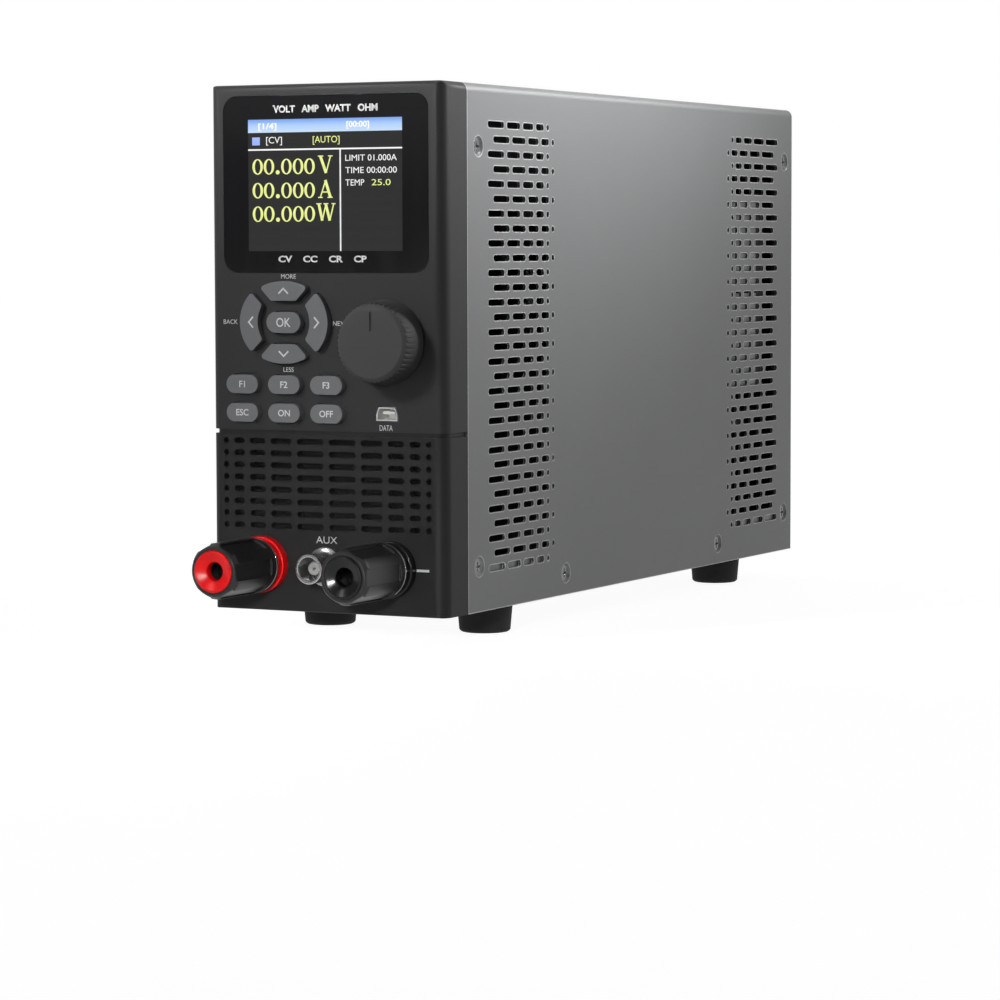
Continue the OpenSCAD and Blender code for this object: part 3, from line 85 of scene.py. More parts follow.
def finish(
    name, colour, shade, rough, grain, depth, spread=0.06, blotch=30, stretch=(1, 1, 1), rim=0, **shader
):
    # two tones drift over a blotch size, a fine grain gives relief and breaks up the gloss, and a painted
    # highlight, a near-white mixed into the colour, runs along cut edges; sizes in mm
    material, tree, place = startMaterial(name)
    laid = addNode(tree, "ShaderNodeMapping", {"Scale": stretch}, {"Vector": place}).outputs[0]
    fine = addNode(
        tree,
        "ShaderNodeTexNoise",
        {"Scale": 1 / (grain * mm), "Detail": 3, "Roughness": 0.6},
        {"Vector": laid},
    ).outputs[0]
    broad = addNode(
        tree, "ShaderNodeTexNoise", {"Scale": 1 / (blotch * mm), "Detail": 2}, {"Vector": laid}
    ).outputs[0]
    both = addNode(
        tree,
        "ShaderNodeMath",
        {"operation": "MULTIPLY_ADD", 1: surfaceMix["fineShare"]},
        {0: fine, 2: broad},
    ).outputs[0]
    tone = addNode(tree, "ShaderNodeValToRGB", None, {"Fac": both})
    tone.color_ramp.elements[0].position = surfaceMix["toneFrom"]
    tone.color_ramp.elements[0].color = hexColour(colour)
    tone.color_ramp.elements[1].position = surfaceMix["toneTo"]
    tone.color_ramp.elements[1].color = hexColour(shade)
    gloss = addNode(
        tree,
        "ShaderNodeMapRange",
        {
            "From Min": surfaceMix["glossFrom"],
            "From Max": surfaceMix["glossTo"],
            "To Min": rough - spread,
            "To Max": rough + spread,
        },
        {"Value": fine},
    ).outputs[0]
    bump = addNode(
        tree, "ShaderNodeBump", {"Strength": surfaceMix["relief"], "Distance": depth * mm}, {"Height": fine}
    ).outputs[0]
    tint = tone.outputs[0]
    if rim:
        # a normal rounded over the rim departs from the true one only near an edge
        rounded = addNode(
            tree, "ShaderNodeBevel", {"samples": surfaceMix["edgeSamples"], "Radius": rim * mm}
        ).outputs[0]
        true = addNode(tree, "ShaderNodeNewGeometry").outputs["Normal"]
        match = addNode(
            tree, "ShaderNodeVectorMath", {"operation": "DOT_PRODUCT"}, {0: rounded, 1: true}
        ).outputs["Value"]
        # painted highlight: near an edge a near-white is mixed into the colour, standing in for light
        # caught by the rim
        rimHighlight = addNode(
            tree,
            "ShaderNodeMapRange",
            {"From Min": surfaceMix["edgeFrom"], "From Max": surfaceMix["edgeTo"]},
            {"Value": match},
        ).outputs[0]
        tint = addNode(
            tree,
            "ShaderNodeMix",
            {"data_type": "RGBA", 7: hexColour(surfaceMix["highlightColour"])},
            {0: rimHighlight, 6: tint},
        ).outputs[2]
    surface = addNode(
        tree,
        "ShaderNodeBsdfPrincipled",
        shader,
        {"Base Color": tint, "Roughness": gloss, "Normal": bump},
    )
    return endMaterial(material, surface)


# silver powder coat: pale grey with a fine orange peel, with a painted highlight along the cut edges of the
# slots
silverPaint = finish(
    "silver powder coat", "#848586", "#818283", rough=0.4, grain=0.35, depth=0.02, rim=0.6, Metallic=0.3
)
# the rear panel has the same paint, a little darker
panelPaint = finish("grey powder coat", "#6f7071", "#676869", rough=0.46, grain=0.5, depth=0.03)
# zinc coat: spangles of a few mm in a bright grey
zincSteel = finish(
    "galvanised steel", "#85888a", "#707376",
    rough=0.4, grain=1.6, depth=0.01, spread=0.1, blotch=5, Metallic=0.7,
)
# front mouldings: charcoal with a spark-eroded grain
charcoalPlastic = finish(
    "charcoal abs", "#333334", "#2f2f30",
    rough=0.5, grain=0.35, depth=0.02, **{"Specular IOR Level": 0.25},
)
# the lower moulding takes a darker copy of the charcoal, painted shade for the lower front falling darker
shadedCharcoalPlastic = finish(
    "dark charcoal abs", "#232324", "#202021",
    rough=0.5, grain=0.35, depth=0.02, **{"Specular IOR Level": 0.25},
)
# keys are a lighter satin grey, the knob a matt one
keyPlastic = finish("grey key plastic", "#757678", "#6f7072", rough=0.42, grain=0.3, depth=0.008)
knobPlastic = finish(
    "satin knob plastic", "#505051", "#4c4c4d",
    rough=0.6, grain=0.3, depth=0.012, **{"Specular IOR Level": 0.2},
)
# soft black rubber, matt and a little dusty
rubber = finish("black rubber", "#0d0d0d", "#131313", rough=0.75, grain=0.6, depth=0.04)
# zinc-plated screws, worn bright
screwSteel = finish(
    "plated screw steel", "#8a8b8c", "#78797b",
    rough=0.28, grain=0.4, depth=0.004, spread=0.08, blotch=3, Metallic=1.0,
)
# polished nickel with faint turning marks round the axis
nickel = finish(
    "polished nickel", "#d2d2d1", "#c2c2c2",
    rough=0.14, grain=0.25, depth=0.002, spread=0.05, blotch=4, stretch=(1, 6, 1), Metallic=1.0,
)
brass = finish(
    "turned brass", "#c2a15a", "#ae8d48",
    rough=0.24, grain=0.25, depth=0.002, spread=0.06, blotch=4, stretch=(1, 6, 1), Metallic=1.0,
)
# the studs take a dark nickel, painted shade for the dark inside of their sockets
shadedStudNickel = finish(
    "black nickel", "#2c2c2d", "#262627",
    rough=0.3, grain=0.25, depth=0.002, spread=0.05, blotch=4, stretch=(1, 6, 1), Metallic=1.0,
)
# connector metals: a satin nickel with a painted highlight along its edges for the jack, a bright tin plate
# for the data socket
satinNickel = finish(
    "satin nickel", "#a6a6a6", "#979797",
    rough=0.26, grain=0.25, depth=0.002, spread=0.05, blotch=4, stretch=(1, 6, 1), rim=0.4, Metallic=1.0,
)
tinPlate = finish(
    "bright tin plate", "#f0f0ee", "#e2e2e0",
    rough=0.34, grain=0.4, depth=0.003, spread=0.06, blotch=4, Metallic=0.7,
)
# red and black insulating plastics, polished by the mould
redPlastic = finish(
    "red polyamide", "#fb1519", "#ee1014",
    rough=0.24, grain=0.8, depth=0.006, spread=0.05, blotch=8, **{"Specular IOR Level": 0.3},
)
blackPlastic = finish(
    "black polyamide", "#0f0f10", "#141415",
    rough=0.22, grain=0.8, depth=0.006, spread=0.05, blotch=8, **{"Specular IOR Level": 0.35},
)
# the thumb nuts are moulded with a dull grip, the jack's insulator is a plain grey
gripPlastic = finish("satin black grip", "#1a1a1a", "#202020", rough=0.36, grain=0.4, depth=0.01)
jackPlastic = finish("grey acetal", "#a9a8a6", "#9f9e9c", rough=0.4, grain=0.5, depth=0.004)
# open black foam: coarse pores, no gloss; a black sheet behind the vents that stands in for the shade
# inside the case
foam = finish(
    "black filter foam", "#0c0c0c", "#161616", rough=0.95, grain=1.2, depth=0.5, spread=0.03, blotch=4
)
# sawn and extruded aluminium with streaks along the case
aluminium = finish(
    "extruded aluminium", "#a3a5a7", "#8c8f92",
    rough=0.38, grain=0.5, depth=0.01, spread=0.1, blotch=8, stretch=(1, 0.04, 1), Metallic=1.0,
)
# stacked core sheets: thin dark lines along the stack
coreSteel = finish(
    "stacked core steel", "#5b5550", "#433f3c",
    rough=0.55, grain=0.6, depth=0.08, spread=0.1, blotch=6, stretch=(0.1, 0.1, 1), Metallic=0.6,
)
# moulded parts and rear fittings: dull black
componentBlack = finish("moulded epoxy", "#1f1f20", "#29292a", rough=0.55, grain=0.4, depth=0.01)


board = {
    "mask": "#1f5a35", "maskShade": "#1b5030", "run": "#2f7a4a",
    "pattern": 8, "runWidth": 0.03, "runHigh": 0.05, "grime": 3, "roughLow": 0.25, "roughHigh": 0.45,
}


def makeBoard():
    # green solder mask over brick-like copper runs, a quarter of the pattern apart, both under a thin gloss
    material, tree, place = startMaterial("green circuit board")
    turned = addNode(
        tree, "ShaderNodeMapping", {"Rotation": (math.pi / 2, 0, 0)}, {"Vector": place}
    ).outputs[0]
    runs = addNode(
        tree,
        "ShaderNodeTexBrick",
        {
            "Color1": hexColour(board["mask"]),
            "Color2": hexColour(board["maskShade"]),
            "Mortar": hexColour(board["run"]),
            "Scale": 1 / (board["pattern"] * mm),
            "Mortar Size": board["runWidth"],
        },
        {"Vector": turned},
    )
    grime = addNode(
        tree, "ShaderNodeTexNoise", {"Scale": 1 / (board["grime"] * mm)}, {"Vector": place}
    ).outputs[0]
    gloss = addNode(
        tree,
        "ShaderNodeMapRange",
        {"To Min": board["roughLow"], "To Max": board["roughHigh"]},
        {"Value": grime},
    ).outputs[0]
    bump = addNode(
        tree,
        "ShaderNodeBump",
        {"Strength": 0.4, "Distance": board["runHigh"] * mm},
        {"Height": runs.outputs["Fac"]},
    ).outputs[0]
    surface = addNode(
        tree,
        "ShaderNodeBsdfPrincipled",
        None,
        {"Base Color": runs.outputs["Color"], "Roughness": gloss, "Normal": bump},
    )
    return endMaterial(material, surface)


lens = {"colour": "#101012", "index": 1.49, "marks": 6, "roughLow": 0.06, "roughHigh": 0.12}


def makeLens():
    # black acrylic: smooth gloss with faint wiping marks, tinted from behind
    material, tree, place = startMaterial("black acrylic")
    wiped = addNode(
        tree, "ShaderNodeMapping", {"Scale": (1, 1, 0.2), "Rotation": (0, 0.6, 0)}, {"Vector": place}
    ).outputs[0]
    marks = addNode(
        tree, "ShaderNodeTexNoise", {"Scale": 1 / (lens["marks"] * mm), "Detail": 6}, {"Vector": wiped}
    ).outputs[0]
    gloss = addNode(
        tree,
        "ShaderNodeMapRange",
        {"From Min": 0.4, "From Max": 0.7, "To Min": lens["roughLow"], "To Max": lens["roughHigh"]},
        {"Value": marks},
    ).outputs[0]
    surface = addNode(
        tree,
        "ShaderNodeBsdfPrincipled",
        {"Base Color": hexColour(lens["colour"]), "IOR": lens["index"]},
        {"Roughness": gloss},
    )
    return endMaterial(material, surface)


lit = {"rows": 4, "dimmest": 0.95, "brightest": 1.05, "glass": "#101010", "rough": 0.2}


def makeLit(name, low, high, zLow, zHigh):
    # display light: a tone that runs up the picture between two case heights in mm, with pixel rows as a
    # faint ripple, drawn coarse enough to show
    material, tree, place = startMaterial(name)
    height = addNode(tree, "ShaderNodeSeparateXYZ", None, {"Vector": place}).outputs["Z"]
    climb = addNode(
        tree,
        "ShaderNodeMapRange",
        {"From Min": caseZ + zLow * mm, "From Max": caseZ + zHigh * mm},
        {"Value": height},
    ).outputs[0]
    tone = addNode(tree, "ShaderNodeValToRGB", None, {"Fac": climb})
    tone.color_ramp.elements[0].color = hexColour(low)
    tone.color_ramp.elements[1].color = hexColour(high)
    rows = addNode(
        tree,
        "ShaderNodeTexWave",
        {"bands_direction": "Z", "Scale": 1 / (lit["rows"] * mm) / 20 * 2 * math.pi},
        {"Vector": place},
    ).outputs[1]
    ripple = addNode(
        tree, "ShaderNodeMapRange", {"To Min": lit["dimmest"], "To Max": lit["brightest"]}, {"Value": rows}
    ).outputs[0]
    surface = addNode(
        tree,
        "ShaderNodeBsdfPrincipled",
        {"Roughness": lit["rough"], "Base Color": hexColour(lit["glass"])},
        {"Emission Color": tone.outputs[0], "Emission Strength": ripple},
    )
    return endMaterial(material, surface)


boardGreen = makeBoard()
lensBlack = makeLens()
print("materials made")

# every node of the frame with its material and the width of its softened edges in mm
looks = [
    (silverPaint, 0, ["top_cover"]),
    (panelPaint, 0.2, ["rear_panel"]),
    (zincSteel, 0, ["base_tray", "tunnel_brackets", "display_module"]),
    (charcoalPlastic, 0.25, ["front_bezel"]),
    (shadedCharcoalPlastic, 0.25, ["terminal_panel"]),
    (keyPlastic, 0.4, ["key_up", "key_down", "key_left", "key_right", "key_ok"]),
    (keyPlastic, 0.4, ["key_f1", "key_f2", "key_f3", "key_f4", "key_f5", "key_f6"]),
    (knobPlastic, 0.25, ["control_knob"]),
    (lensBlack, 0.15, ["display_lens"]),
    (rubber, 0.5, ["foot_front_left", "foot_front_right", "foot_rear_left", "foot_rear_right"]),
    (screwSteel, 0.1, ["cover_screws", "chassis_screws", "panel_nuts"]),
    (nickel, 0.1, ["red_washer", "black_washer"]),
    (shadedStudNickel, 0.1, ["red_stud", "black_stud"]),
    (satinNickel, 0.1, ["bnc_shell", "bnc_contact"]),
    (tinPlate, 0.05, ["usb_socket"]),
    (nickel, 0.1, ["encoder_shaft", "encoder_body", "inlet_pins", "fan_guard"]),
    (brass, 0.05, ["board_spacers"]),
    (redPlastic, 0.25, ["red_collar", "red_end_cap"]),
    (blackPlastic, 0.25, ["black_collar", "black_end_cap"]),
    (gripPlastic, 0.25, ["red_thumb_nut", "black_thumb_nut"]),
    (jackPlastic, 0.1, ["bnc_insulator"]),
    # the dust filter is a black sheet standing in for the shade seen through the vents
    (foam, 0, ["dust_filter"]),
    (aluminium, 0, ["heatsink_halves"]),
    (coreSteel, 0.3, ["transformer"]),
    (boardGreen, 0, ["control_board", "main_board", "power_board"]),
    (componentBlack, 0.2, ["power_transistors", "power_capacitors", "fan_frame", "fan_rotor"]),
    (componentBlack, 0.3, ["inlet_housing", "fuse_drawer", "switch_housing", "rocker_switch"]),
]
# edges are welded within merge mm, rounded in steps past an angle in degrees, and shaded by face size
soften = {"merge": 0.002, "steps": 2, "angle": 40, "weight": 100}
for material, edge, names in looks:
    for name in names:
        node = nodes[name]
        node.data.materials.clear()
        node.data.materials.append(material)
        if edge:
            weld = node.modifiers.new("weld", "WELD")
            weld.merge_threshold = soften["merge"] * mm
            bevel = node.modifiers.new("soften", "BEVEL")
            bevel.width = edge * mm
            bevel.segments = soften["steps"]
            bevel.limit_method = "ANGLE"
            bevel.angle_limit = math.radians(soften["angle"])
            even = node.modifiers.new("even", "WEIGHTED_NORMAL")
            even.weight = soften["weight"]
print("nodes finished")


printThick = 0.03  # mm, half of it sunk in the face below


def casePlace(x, face, z):
    # a place in mm: across from the middle, back from the front plane, up from the case's underside
    return Matrix.Translation((x * mm, frontY + face * mm, caseZ + z * mm))


def hold(name, mesh, material, body):
    piece = bpy.data.objects.new(name, mesh)
    bpy.context.scene.collection.objects.link(piece)
    mesh.materials.append(material)
    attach(piece, body)
    return piece


def lettering(name, words, material, body, face, x, z, tall, wide=None, bold=0.0):
    # words as a thin print about a case place, fitted to a height (and a width) in mm
    curve = bpy.data.curves.new(name, "FONT")
    curve.body = words
    curve.offset = bold
    curve.resolution_u = 4
    curve.extrude = 0.01
    typed = bpy.data.objects.new(name, curve)
    bpy.context.scene.collection.objects.link(typed)
    bpy.context.view_layer.update()
    mesh = bpy.data.meshes.new_from_object(typed.evaluated_get(bpy.context.evaluated_depsgraph_get()))
    bpy.data.objects.remove(typed)
    corners = [v.co for v in mesh.vertices]
    low = Vector([min(c[i] for c in corners) for i in range(3)])
    high = Vector([max(c[i] for c in corners) for i in range(3)])
    upward = tall * mm / (high.y - low.y)
    across = wide * mm / (high.x - low.x) if wide else upward
    toMiddle = Matrix.Translation(-(low + high) / 2)
    size = Matrix.Diagonal((across, upward, printThick * mm / (high.z - low.z), 1))
    stand = Matrix.Rotation(math.pi / 2, 4, "X")
    mesh.transform(casePlace(x, face, z) @ stand @ size @ toMiddle)
    return hold(name, mesh, material, body)


def plate(name, material, body, face, x0, x1, z0, z1):
    # a thin flat piece between two case corners in mm
    mesh = bpy.data.meshes.new(name)
    form = bmesh.new()
    bmesh.ops.create_cube(form, size=1)
    size = Matrix.Diagonal(((x1 - x0) * mm, printThick * mm, (z1 - z0) * mm, 1))
    middle = casePlace((x0 + x1) / 2, face, (z0 + z1) / 2)
    bmesh.ops.transform(form, matrix=middle @ size, verts=form.verts)
    form.to_mesh(mesh)
    form.free()
    return hold(name, mesh, material, body)


def drawn(name, strokes, ovals, place, material, body):
    # flat strokes (x0, z0, x1, z1, width) and oval rings (x, z, half width, half height, side, top) in mm
    mesh = bpy.data.meshes.new(name)
    form = bmesh.new()
    for x0, z0, x1, z1, wide in strokes:
        bar = bmesh.ops.create_cube(form, size=1)["verts"]
        size = Matrix.Diagonal((math.hypot(x1 - x0, z1 - z0), printThick, wide, 1))
        lean = Matrix.Rotation(-math.atan2(z1 - z0, x1 - x0), 4, "Y")
        shift = Matrix.Translation(((x0 + x1) / 2, 0, (z0 + z1) / 2))
        bmesh.ops.transform(form, matrix=shift @ lean @ size, verts=bar)
    for xMid, zMid, halfWide, halfTall, side, top in ovals:
        rings = []
        for across, tall in ((halfWide, halfTall), (halfWide - side, halfTall - top)):
            ring = bmesh.ops.create_circle(form, segments=40, radius=1)["verts"]
            lay = Matrix.Translation((xMid, -printThick / 2, zMid)) @ Matrix.Rotation(math.pi / 2, 4, "X")
            bmesh.ops.transform(form, matrix=lay @ Matrix.Diagonal((across, tall, 1, 1)), verts=ring)
            rings.append(ring)
        edges = {e for ring in rings for v in ring for e in v.link_edges}
        flat = bmesh.ops.bridge_loops(form, edges=list(edges))["faces"]
        sunk = bmesh.ops.extrude_face_region(form, geom=flat)["geom"]
        deep = [v for v in sunk if isinstance(v, bmesh.types.BMVert)]
        bmesh.ops.translate(form, vec=(0, printThick, 0), verts=deep)
    bmesh.ops.recalc_face_normals(form, faces=form.faces)
    bmesh.ops.transform(form, matrix=place @ Matrix.Scale(mm, 4), verts=form.verts)
    form.to_mesh(mesh)
    form.free()
    return hold(name, mesh, material, body)


# the picture on the display, case mm; each layer stands a little in front of the last
screen = {
    "half": 28.75, "low": 118.8, "high": 161.9, "header": 157.6, "rule": 152.0, "split": 5.9, "line": 0.5,
    "mark": (-27.2, -24.3, 153.5, 156.1),
    "fieldFace": -0.01, "layerFace": -0.03, "headerFace": -0.05,
}
left, right, low, high = -screen["half"], screen["half"], screen["low"], screen["high"]
header, rule, split, halfLine = screen["header"], screen["rule"], screen["split"], screen["line"] / 2
screenGrey = makeLit("lit display grey", "#1d1d1d", "#1b1b1b", low, high)
screenBlue = makeLit("lit display blue", "#cfe8ff", "#7ba6f0", header, high)
screenMark = makeLit("lit display mark", "#9db8ff", "#9db8ff", rule, header)
screenWhite = makeLit("lit display white", "#f2f2f2", "#f8f8f8", low, high)
screenLime = makeLit("lit display lime", "#eaf290", "#eef59a", low, high)
layer = screen["layerFace"]
plate("screen_field", screenGrey, "case", screen["fieldFace"], left, right, low, high)
plate("screen_header", screenBlue, "case", layer, left, right, header, high)
plate("screen_mark", screenMark, "case", layer, *screen["mark"])
plate("screen_rule", screenWhite, "case", layer, left, right, rule - halfLine, rule + halfLine)
plate("screen_split", screenWhite, "case", layer, split - halfLine, split + halfLine, low, rule)

# readings: round figures with thick sides and a point, and units with serifs, from each row's base line
readings = {
    "V": {"base": 143.9, "strokes": [
        (-1.5, 5.8, 0.6, 0.3, 1.0), (0.6, 0.3, 2.3, 5.8, 0.45), (-2.4, 5.8, -0.4, 5.8, 0.35),
        (1.4, 5.8, 3.1, 5.8, 0.35),
    ]},
    "A": {"base": 136.1, "strokes": [
        (-1.6, 0.1, 0.4, 5.6, 0.45), (0.3, 5.8, 2.2, 0.1, 1.0), (-0.8, 1.9, 1.5, 1.9, 0.4),
        (-2.4, 0.15, -0.7, 0.15, 0.35), (1.1, 0.15, 3.0, 0.15, 0.35),
    ]},
    "W": {"base": 128.4, "strokes": [
        (-2.2, 5.8, -0.9, 0.3, 0.95), (-0.9, 0.3, 0.4, 5.3, 0.45), (0.4, 5.8, 1.9, 0.3, 0.95),
        (1.9, 0.3, 3.4, 5.8, 0.45), (-3.1, 5.8, -1.2, 5.8, 0.35), (-0.4, 5.8, 1.4, 5.8, 0.35),
        (2.6, 5.8, 4.1, 5.8, 0.35),
    ]},
}
figures = [(x, 2.55, 2.0, 2.55, 0.95, 0.35) for x in (-25.2, -20.9, -14.3, -9.9, -5.6)]
point = [(-17.6, 0.7, 0.75, 0.7, 0.74, 0.69)]
for unit, row in readings.items():
    place = casePlace(0, layer, row["base"])
    drawn(f"reading_{unit}", row["strokes"], figures + point, place, screenLime, "case")

displayWords = [
    ("detail_0", "LIMIT 01.000A", screenWhite, layer, {"x": 17.3, "z": 149, "tall": 2, "wide": 19}),
    ("detail_1", "TIME 00:00:00", screenWhite, layer, {"x": 17.3, "z": 145, "tall": 2, "wide": 19}),
    ("detail_2", "TEMP", screenWhite, layer, {"x": 11.3, "z": 141, "tall": 2, "wide": 7}),
    ("detail_value", "25.0", screenLime, layer, {"x": 21, "z": 141, "tall": 2, "wide": 7}),
    ("screen_page", "[1/4]", screenWhite, screen["headerFace"],
     {"x": -21.4, "z": 159.4, "tall": 2.6, "wide": 7, "bold": 0.03}),
    ("screen_clock", "[00:00]", screenWhite, screen["headerFace"],
     {"x": 12.5, "z": 159.6, "tall": 2.6, "wide": 8.5, "bold": 0.03}),
    ("screen_mode", "[CV]", screenWhite, layer, {"x": -18.9, "z": 154.8, "tall": 2.8, "wide": 6}),
    ("screen_state", "[AUTO]", screenLime, layer, {"x": 0.7, "z": 154.8, "tall": 2.8, "wide": 10}),
]
for name, words, light, face, fit in displayWords:
    lettering(name, words, light, "case", face, **fit)

# pad-printed legends in a pale grey ink with a slightly uneven cover
paleInk = finish(
    "pale grey ink", "#e6e6e6", "#dcdcdc", rough=0.5, grain=0.4, depth=0.004, spread=0.05, blotch=3
)


def faceOf(name):
    # how far a node's front stands from the front plane, mm
    return (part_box(name)[0].y - frontY) / mm


def keyMiddle(key):
    low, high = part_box(key)
    return {"x": (low.x + high.x) / 2 / mm, "z": ((low.z + high.z) / 2 - caseZ) / mm}


lensFace = screen["fieldFace"]
keyTop = faceOf("key_ok")
bezelFace = faceOf("front_bezel")
panelFace = faceOf("terminal_panel")
lensWords = [
    ("lens_units", "VOLT   AMP   WATT   OHM",
     {"x": 0.3, "z": 165.2, "tall": 2.4, "wide": 39, "bold": 0.035}),
    ("lens_modes", "CV    CC    CR    CP",
     {"x": -1, "z": 116.2, "tall": 2.2, "wide": 33, "bold": 0.035}),
]
for name, words, fit in lensWords:
    lettering(name, words, paleInk, "case", lensFace, **fit)

arrow = {
    "strokes": [(-1.8, -0.9, 0.15, 0.9, 0.55), (1.8, -0.9, -0.15, 0.9, 0.55)],
    "turns": {"key_up": 0, "key_right": 90, "key_down": 180, "key_left": 270},
}
for key, degrees in arrow["turns"].items():
    middle = keyMiddle(key)
    place = casePlace(middle["x"], keyTop, middle["z"]) @ Matrix.Rotation(math.radians(degrees), 4, "Y")
    drawn("arrow_" + key[4:], arrow["strokes"], [], place, paleInk, key)
legends = {
    "key_ok": ("OK", {"tall": 3, "wide": 5.4, "bold": 0.01}),
    "key_f1": ("F1", {"tall": 2.2, "bold": 0.02}),
    "key_f2": ("F2", {"tall": 2.2, "bold": 0.02}),
    "key_f3": ("F3", {"tall": 2.2, "bold": 0.02}),
    "key_f4": ("ESC", {"tall": 2.2, "bold": 0.02}),
    "key_f5": ("ON", {"tall": 2.2, "bold": 0.02}),
    "key_f6": ("OFF", {"tall": 2.2, "bold": 0.02}),
}
for key, (words, fit) in legends.items():
    lettering("legend_" + key[4:], words, paleInk, key, keyTop, **keyMiddle(key), **fit)

labels = [
    ("label_up", "MORE", bezelFace, {"x": -13.8, "z": 110.5, "tall": 1.5}),
    ("label_down", "LESS", bezelFace, {"x": -14, "z": 79.9, "tall": 1.5}),
    ("label_left", "BACK", bezelFace, {"x": -36, "z": 95.5, "tall": 1.5}),
    ("label_right", "NEXT", bezelFace, {"x": 5.6, "z": 95.2, "tall": 1.5}),
    ("label_data", "DATA", bezelFace, {"x": 22.4, "z": 61.4, "tall": 1.8, "wide": 4.8}),
    ("label_jack", "AUX", panelFace, {"x": 0, "z": 24.1, "tall": 2.3, "wide": 8}),
]
for name, words, face, fit in labels:
    lettering(name, words, paleInk, "case", face, **fit)
poleMarks = {
    "minus_mark": {"x0": 33.4, "x1": 38, "z0": 14.9, "z1": 15.7},
    "plus_bar": {"x0": -38, "x1": -33.4, "z0": 14.9, "z1": 15.7},
    "plus_post": {"x0": -36.1, "x1": -35.3, "z0": 13, "z1": 17.6},
}
for name, corners in poleMarks.items():
    plate(name, paleInk, "case", panelFace, **corners)

# on and off marks on the two slopes of the rocker, which lies tilted at rest; places from its pivot in mm
rocker = {
    "pivot": (27, 296.7, 32), "tilt": 10, "slope": 5.71, "out": 1.6, "up": 4,
    "bar": (0, -1.3, 0, 1.3, 0.5), "ring": (0, 0, 1.3, 1.3, 0.45, 0.45),
}
pivot = casePlace(*rocker["pivot"]) @ Matrix.Rotation(math.radians(rocker["tilt"]), 4, "X")
for name, side, strokes, ovals in (
    ("rocker_on", 1, [rocker["bar"]], []),
    ("rocker_off", -1, [], [rocker["ring"]]),
):
    rise = Matrix.Translation((0, rocker["out"] * mm, side * rocker["up"] * mm))
    lean = Matrix.Rotation(math.radians(-side * rocker["slope"]), 4, "X")
    drawn(name, strokes, ovals, pivot @ rise @ lean, paleInk, "rocker")
print("display and legends laid")

# studio: a white room that lights the object only faintly and shows duller in gloss, and a paper floor
studio = {
    "floorHalf": 6, "paper": "#8c8c8c", "fibre": 30, "floorLift": 0.93,
    "glossShare": 0.75, "scattered": 0.24, "front": (0.22, 0.22, 0.23, 1), "white": (1, 1, 1, 1),
}


def raysSeen(tree):
    # 1 for rays from the camera or through a clear piece, less for rays off a gloss, 0 for scattered light
    rays = addNode(tree, "ShaderNodeLightPath").outputs
    direct = addNode(
        tree,
        "ShaderNodeMath",
        {"operation": "MULTIPLY_ADD", 1: studio["glossShare"]},
        {0: rays["Is Glossy Ray"], 2: rays["Is Camera Ray"]},
    ).outputs[0]
    return addNode(
        tree, "ShaderNodeMath", {"operation": "ADD"}, {0: direct, 1: rays["Is Transmission Ray"]}
    ).outputs[0]


floorMesh = bpy.data.meshes.new("floor")
form = bmesh.new()
bmesh.ops.create_grid(form, x_segments=1, y_segments=1, size=studio["floorHalf"])
form.to_mesh(floorMesh)
form.free()
floor = bpy.data.objects.new("floor", floorMesh)
bpy.context.scene.collection.objects.link(floor)
# white paper: a dull sheet with long fibres, lifted to white for what looks at it
paper, tree, place = startMaterial("white paper floor")
fibre = addNode(
    tree, "ShaderNodeTexNoise", {"Scale": 1 / (studio["fibre"] * mm), "Detail": 3}, {"Vector": place}
).outputs[0]
rough = addNode(tree, "ShaderNodeMapRange", {"To Min": 0.85, "To Max": 0.95}, {"Value": fibre}).outputs[0]
paperShader = addNode(
    tree, "ShaderNodeBsdfPrincipled", {"Base Color": hexColour(studio["paper"])}, {"Roughness": rough}
)
lift = addNode(
    tree, "ShaderNodeMapRange", {"To Max": studio["floorLift"]}, {"Value": raysSeen(tree)}
).outputs[0]
glow = addNode(tree, "ShaderNodeEmission", {"Color": studio["white"]}, {"Strength": lift})
both = addNode(tree, "ShaderNodeAddShader", None, {0: paperShader.outputs[0], 1: glow.outputs[0]})
floorMesh.materials.append(endMaterial(paper, both))

# the room is dim in front of the object for light and gloss, and white behind it and for the camera
world = bpy.data.worlds.new("studio")
bpy.context.scene.world = world
world.use_nodes = True
tree = world.node_tree
tree.nodes.clear()
aim = addNode(tree, "ShaderNodeTexCoord").outputs["Generated"]
depthOf = addNode(tree, "ShaderNodeSeparateXYZ", None, {"Vector": aim}).outputs["Y"]
frontToBack = addNode(
    tree, "ShaderNodeMapRange", {"From Min": -0.3, "From Max": 0.5}, {"Value": depthOf}
).outputs[0]
sky = addNode(tree, "ShaderNodeValToRGB", None, {"Fac": frontToBack})
sky.color_ramp.elements[0].color = studio["front"]
sky.color_ramp.elements[1].color = studio["white"]
watched = addNode(tree, "ShaderNodeLightPath").outputs["Is Camera Ray"]
backdrop = addNode(
    tree, "ShaderNodeMix", {"data_type": "RGBA", 7: studio["white"]}, {0: watched, 6: sky.outputs[0]}
).outputs[2]
room = addNode(
    tree, "ShaderNodeMapRange", {"To Min": studio["scattered"]}, {"Value": raysSeen(tree)}
).outputs[0]
glow = addNode(tree, "ShaderNodeBackground", None, {"Color": backdrop, "Strength": room})
addNode(tree, "ShaderNodeOutputWorld", None, {"Surface": glow.outputs[0]})


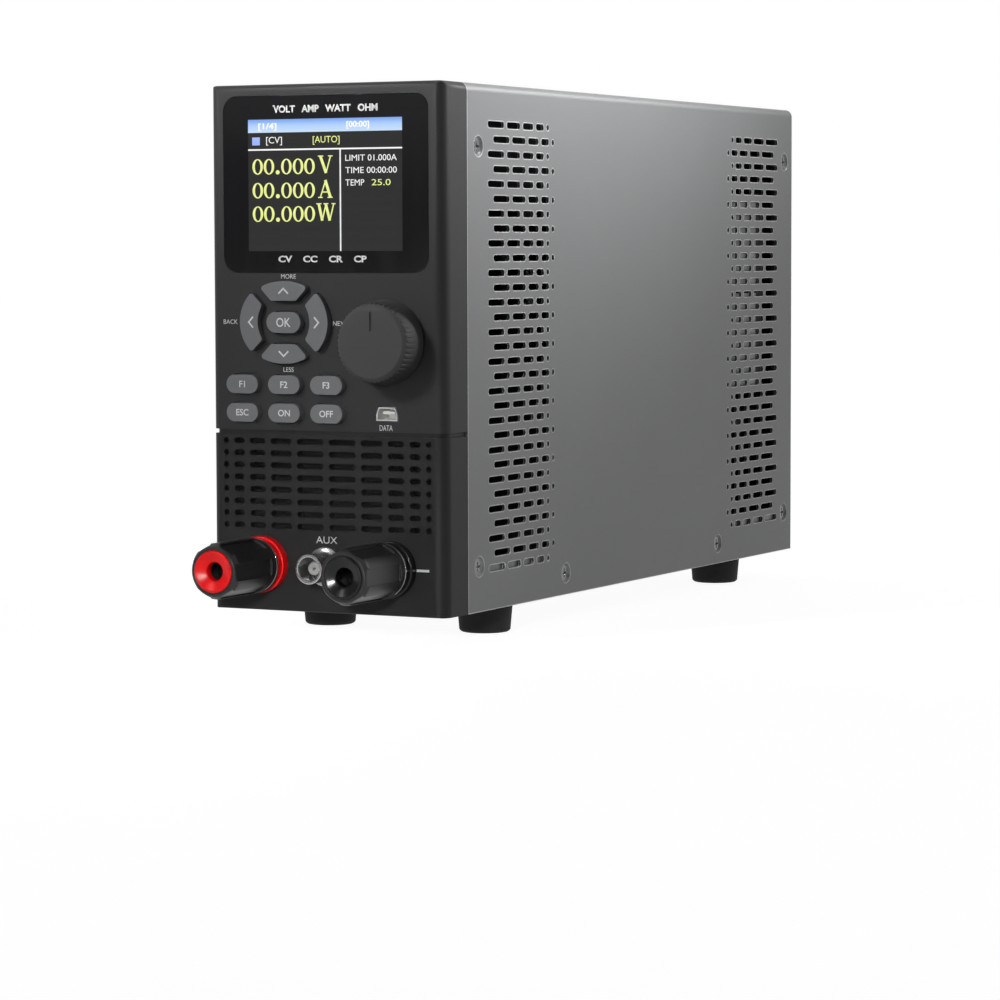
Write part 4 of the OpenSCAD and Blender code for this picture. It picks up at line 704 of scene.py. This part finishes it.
def softbox(name, place, target, wide, tall, power, spread=180):
    # a rectangular light in metres and watts, its beam narrowed by a grid to a spread in degrees
    lamp = bpy.data.lights.new(name, "AREA")
    lamp.shape = "RECTANGLE"
    lamp.size = wide
    lamp.size_y = tall
    lamp.energy = power
    lamp.spread = math.radians(spread)
    box = bpy.data.objects.new(name, lamp)
    bpy.context.scene.collection.objects.link(box)
    box.location = place
    box.rotation_euler = (Vector(target) - Vector(place)).to_track_quat("-Z", "Y").to_euler()


# gridded boxes aimed high light the upper half most: the key from the front left, the side light from the
# rear right; a small one picks out the posts and the fill opens the front
lights = {
    "key_light": {"place": (-0.5, -1.0, 0.75), "target": (-0.02, -0.13, 0.35),
                  "wide": 0.2, "tall": 0.2, "power": 0.85, "spread": 26},
    "side_light": {"place": (0.8, 0.55, 0.75), "target": (0.04, 0.02, 0.45),
                   "wide": 0.2, "tall": 0.3, "power": 3.1, "spread": 26},
    "terminal_light": {"place": (0.3, -1.1, 0.25), "target": (0, -0.16, 0.02),
                       "wide": 0.1, "tall": 0.1, "power": 0.035, "spread": 10},
    "fill_light": {"place": (-0.9, -1.3, 0.6), "target": (0, -0.1, 0.2),
                   "wide": 0.8, "tall": 0.8, "power": 0.35},
}
for name, settings in lights.items():
    softbox(name, **settings)

# the camera solved from the photograph: degrees, metres and a lens in mm
view = {
    "yaw": 26.654, "pitch": 4.0966, "roll": -0.1483, "place": (0.572216, -1.146679, 0.130390),
    "lens": 127.83, "sensor": 36,
}
camera = bpy.data.objects.new("camera", bpy.data.cameras.new("camera"))
bpy.context.scene.collection.objects.link(camera)
bpy.context.scene.camera = camera
camera.data.sensor_width = view["sensor"]
camera.data.lens = view["lens"]
yaw, pitch, roll = (math.radians(view[a]) for a in ("yaw", "pitch", "roll"))
forward = Vector((-math.sin(yaw) * math.cos(pitch), math.cos(yaw) * math.cos(pitch), -math.sin(pitch)))
rightward = Vector((math.cos(yaw), math.sin(yaw), 0))
upward = rightward.cross(forward)
tilted = math.cos(roll) * rightward + math.sin(roll) * upward
raised = math.cos(roll) * upward - math.sin(roll) * rightward
turn = Matrix((tilted, raised, -forward)).transposed().to_4x4()
camera.matrix_world = Matrix.Translation(view["place"]) @ turn
bpy.context.scene.view_settings.view_transform = "Standard"
print("studio ready")
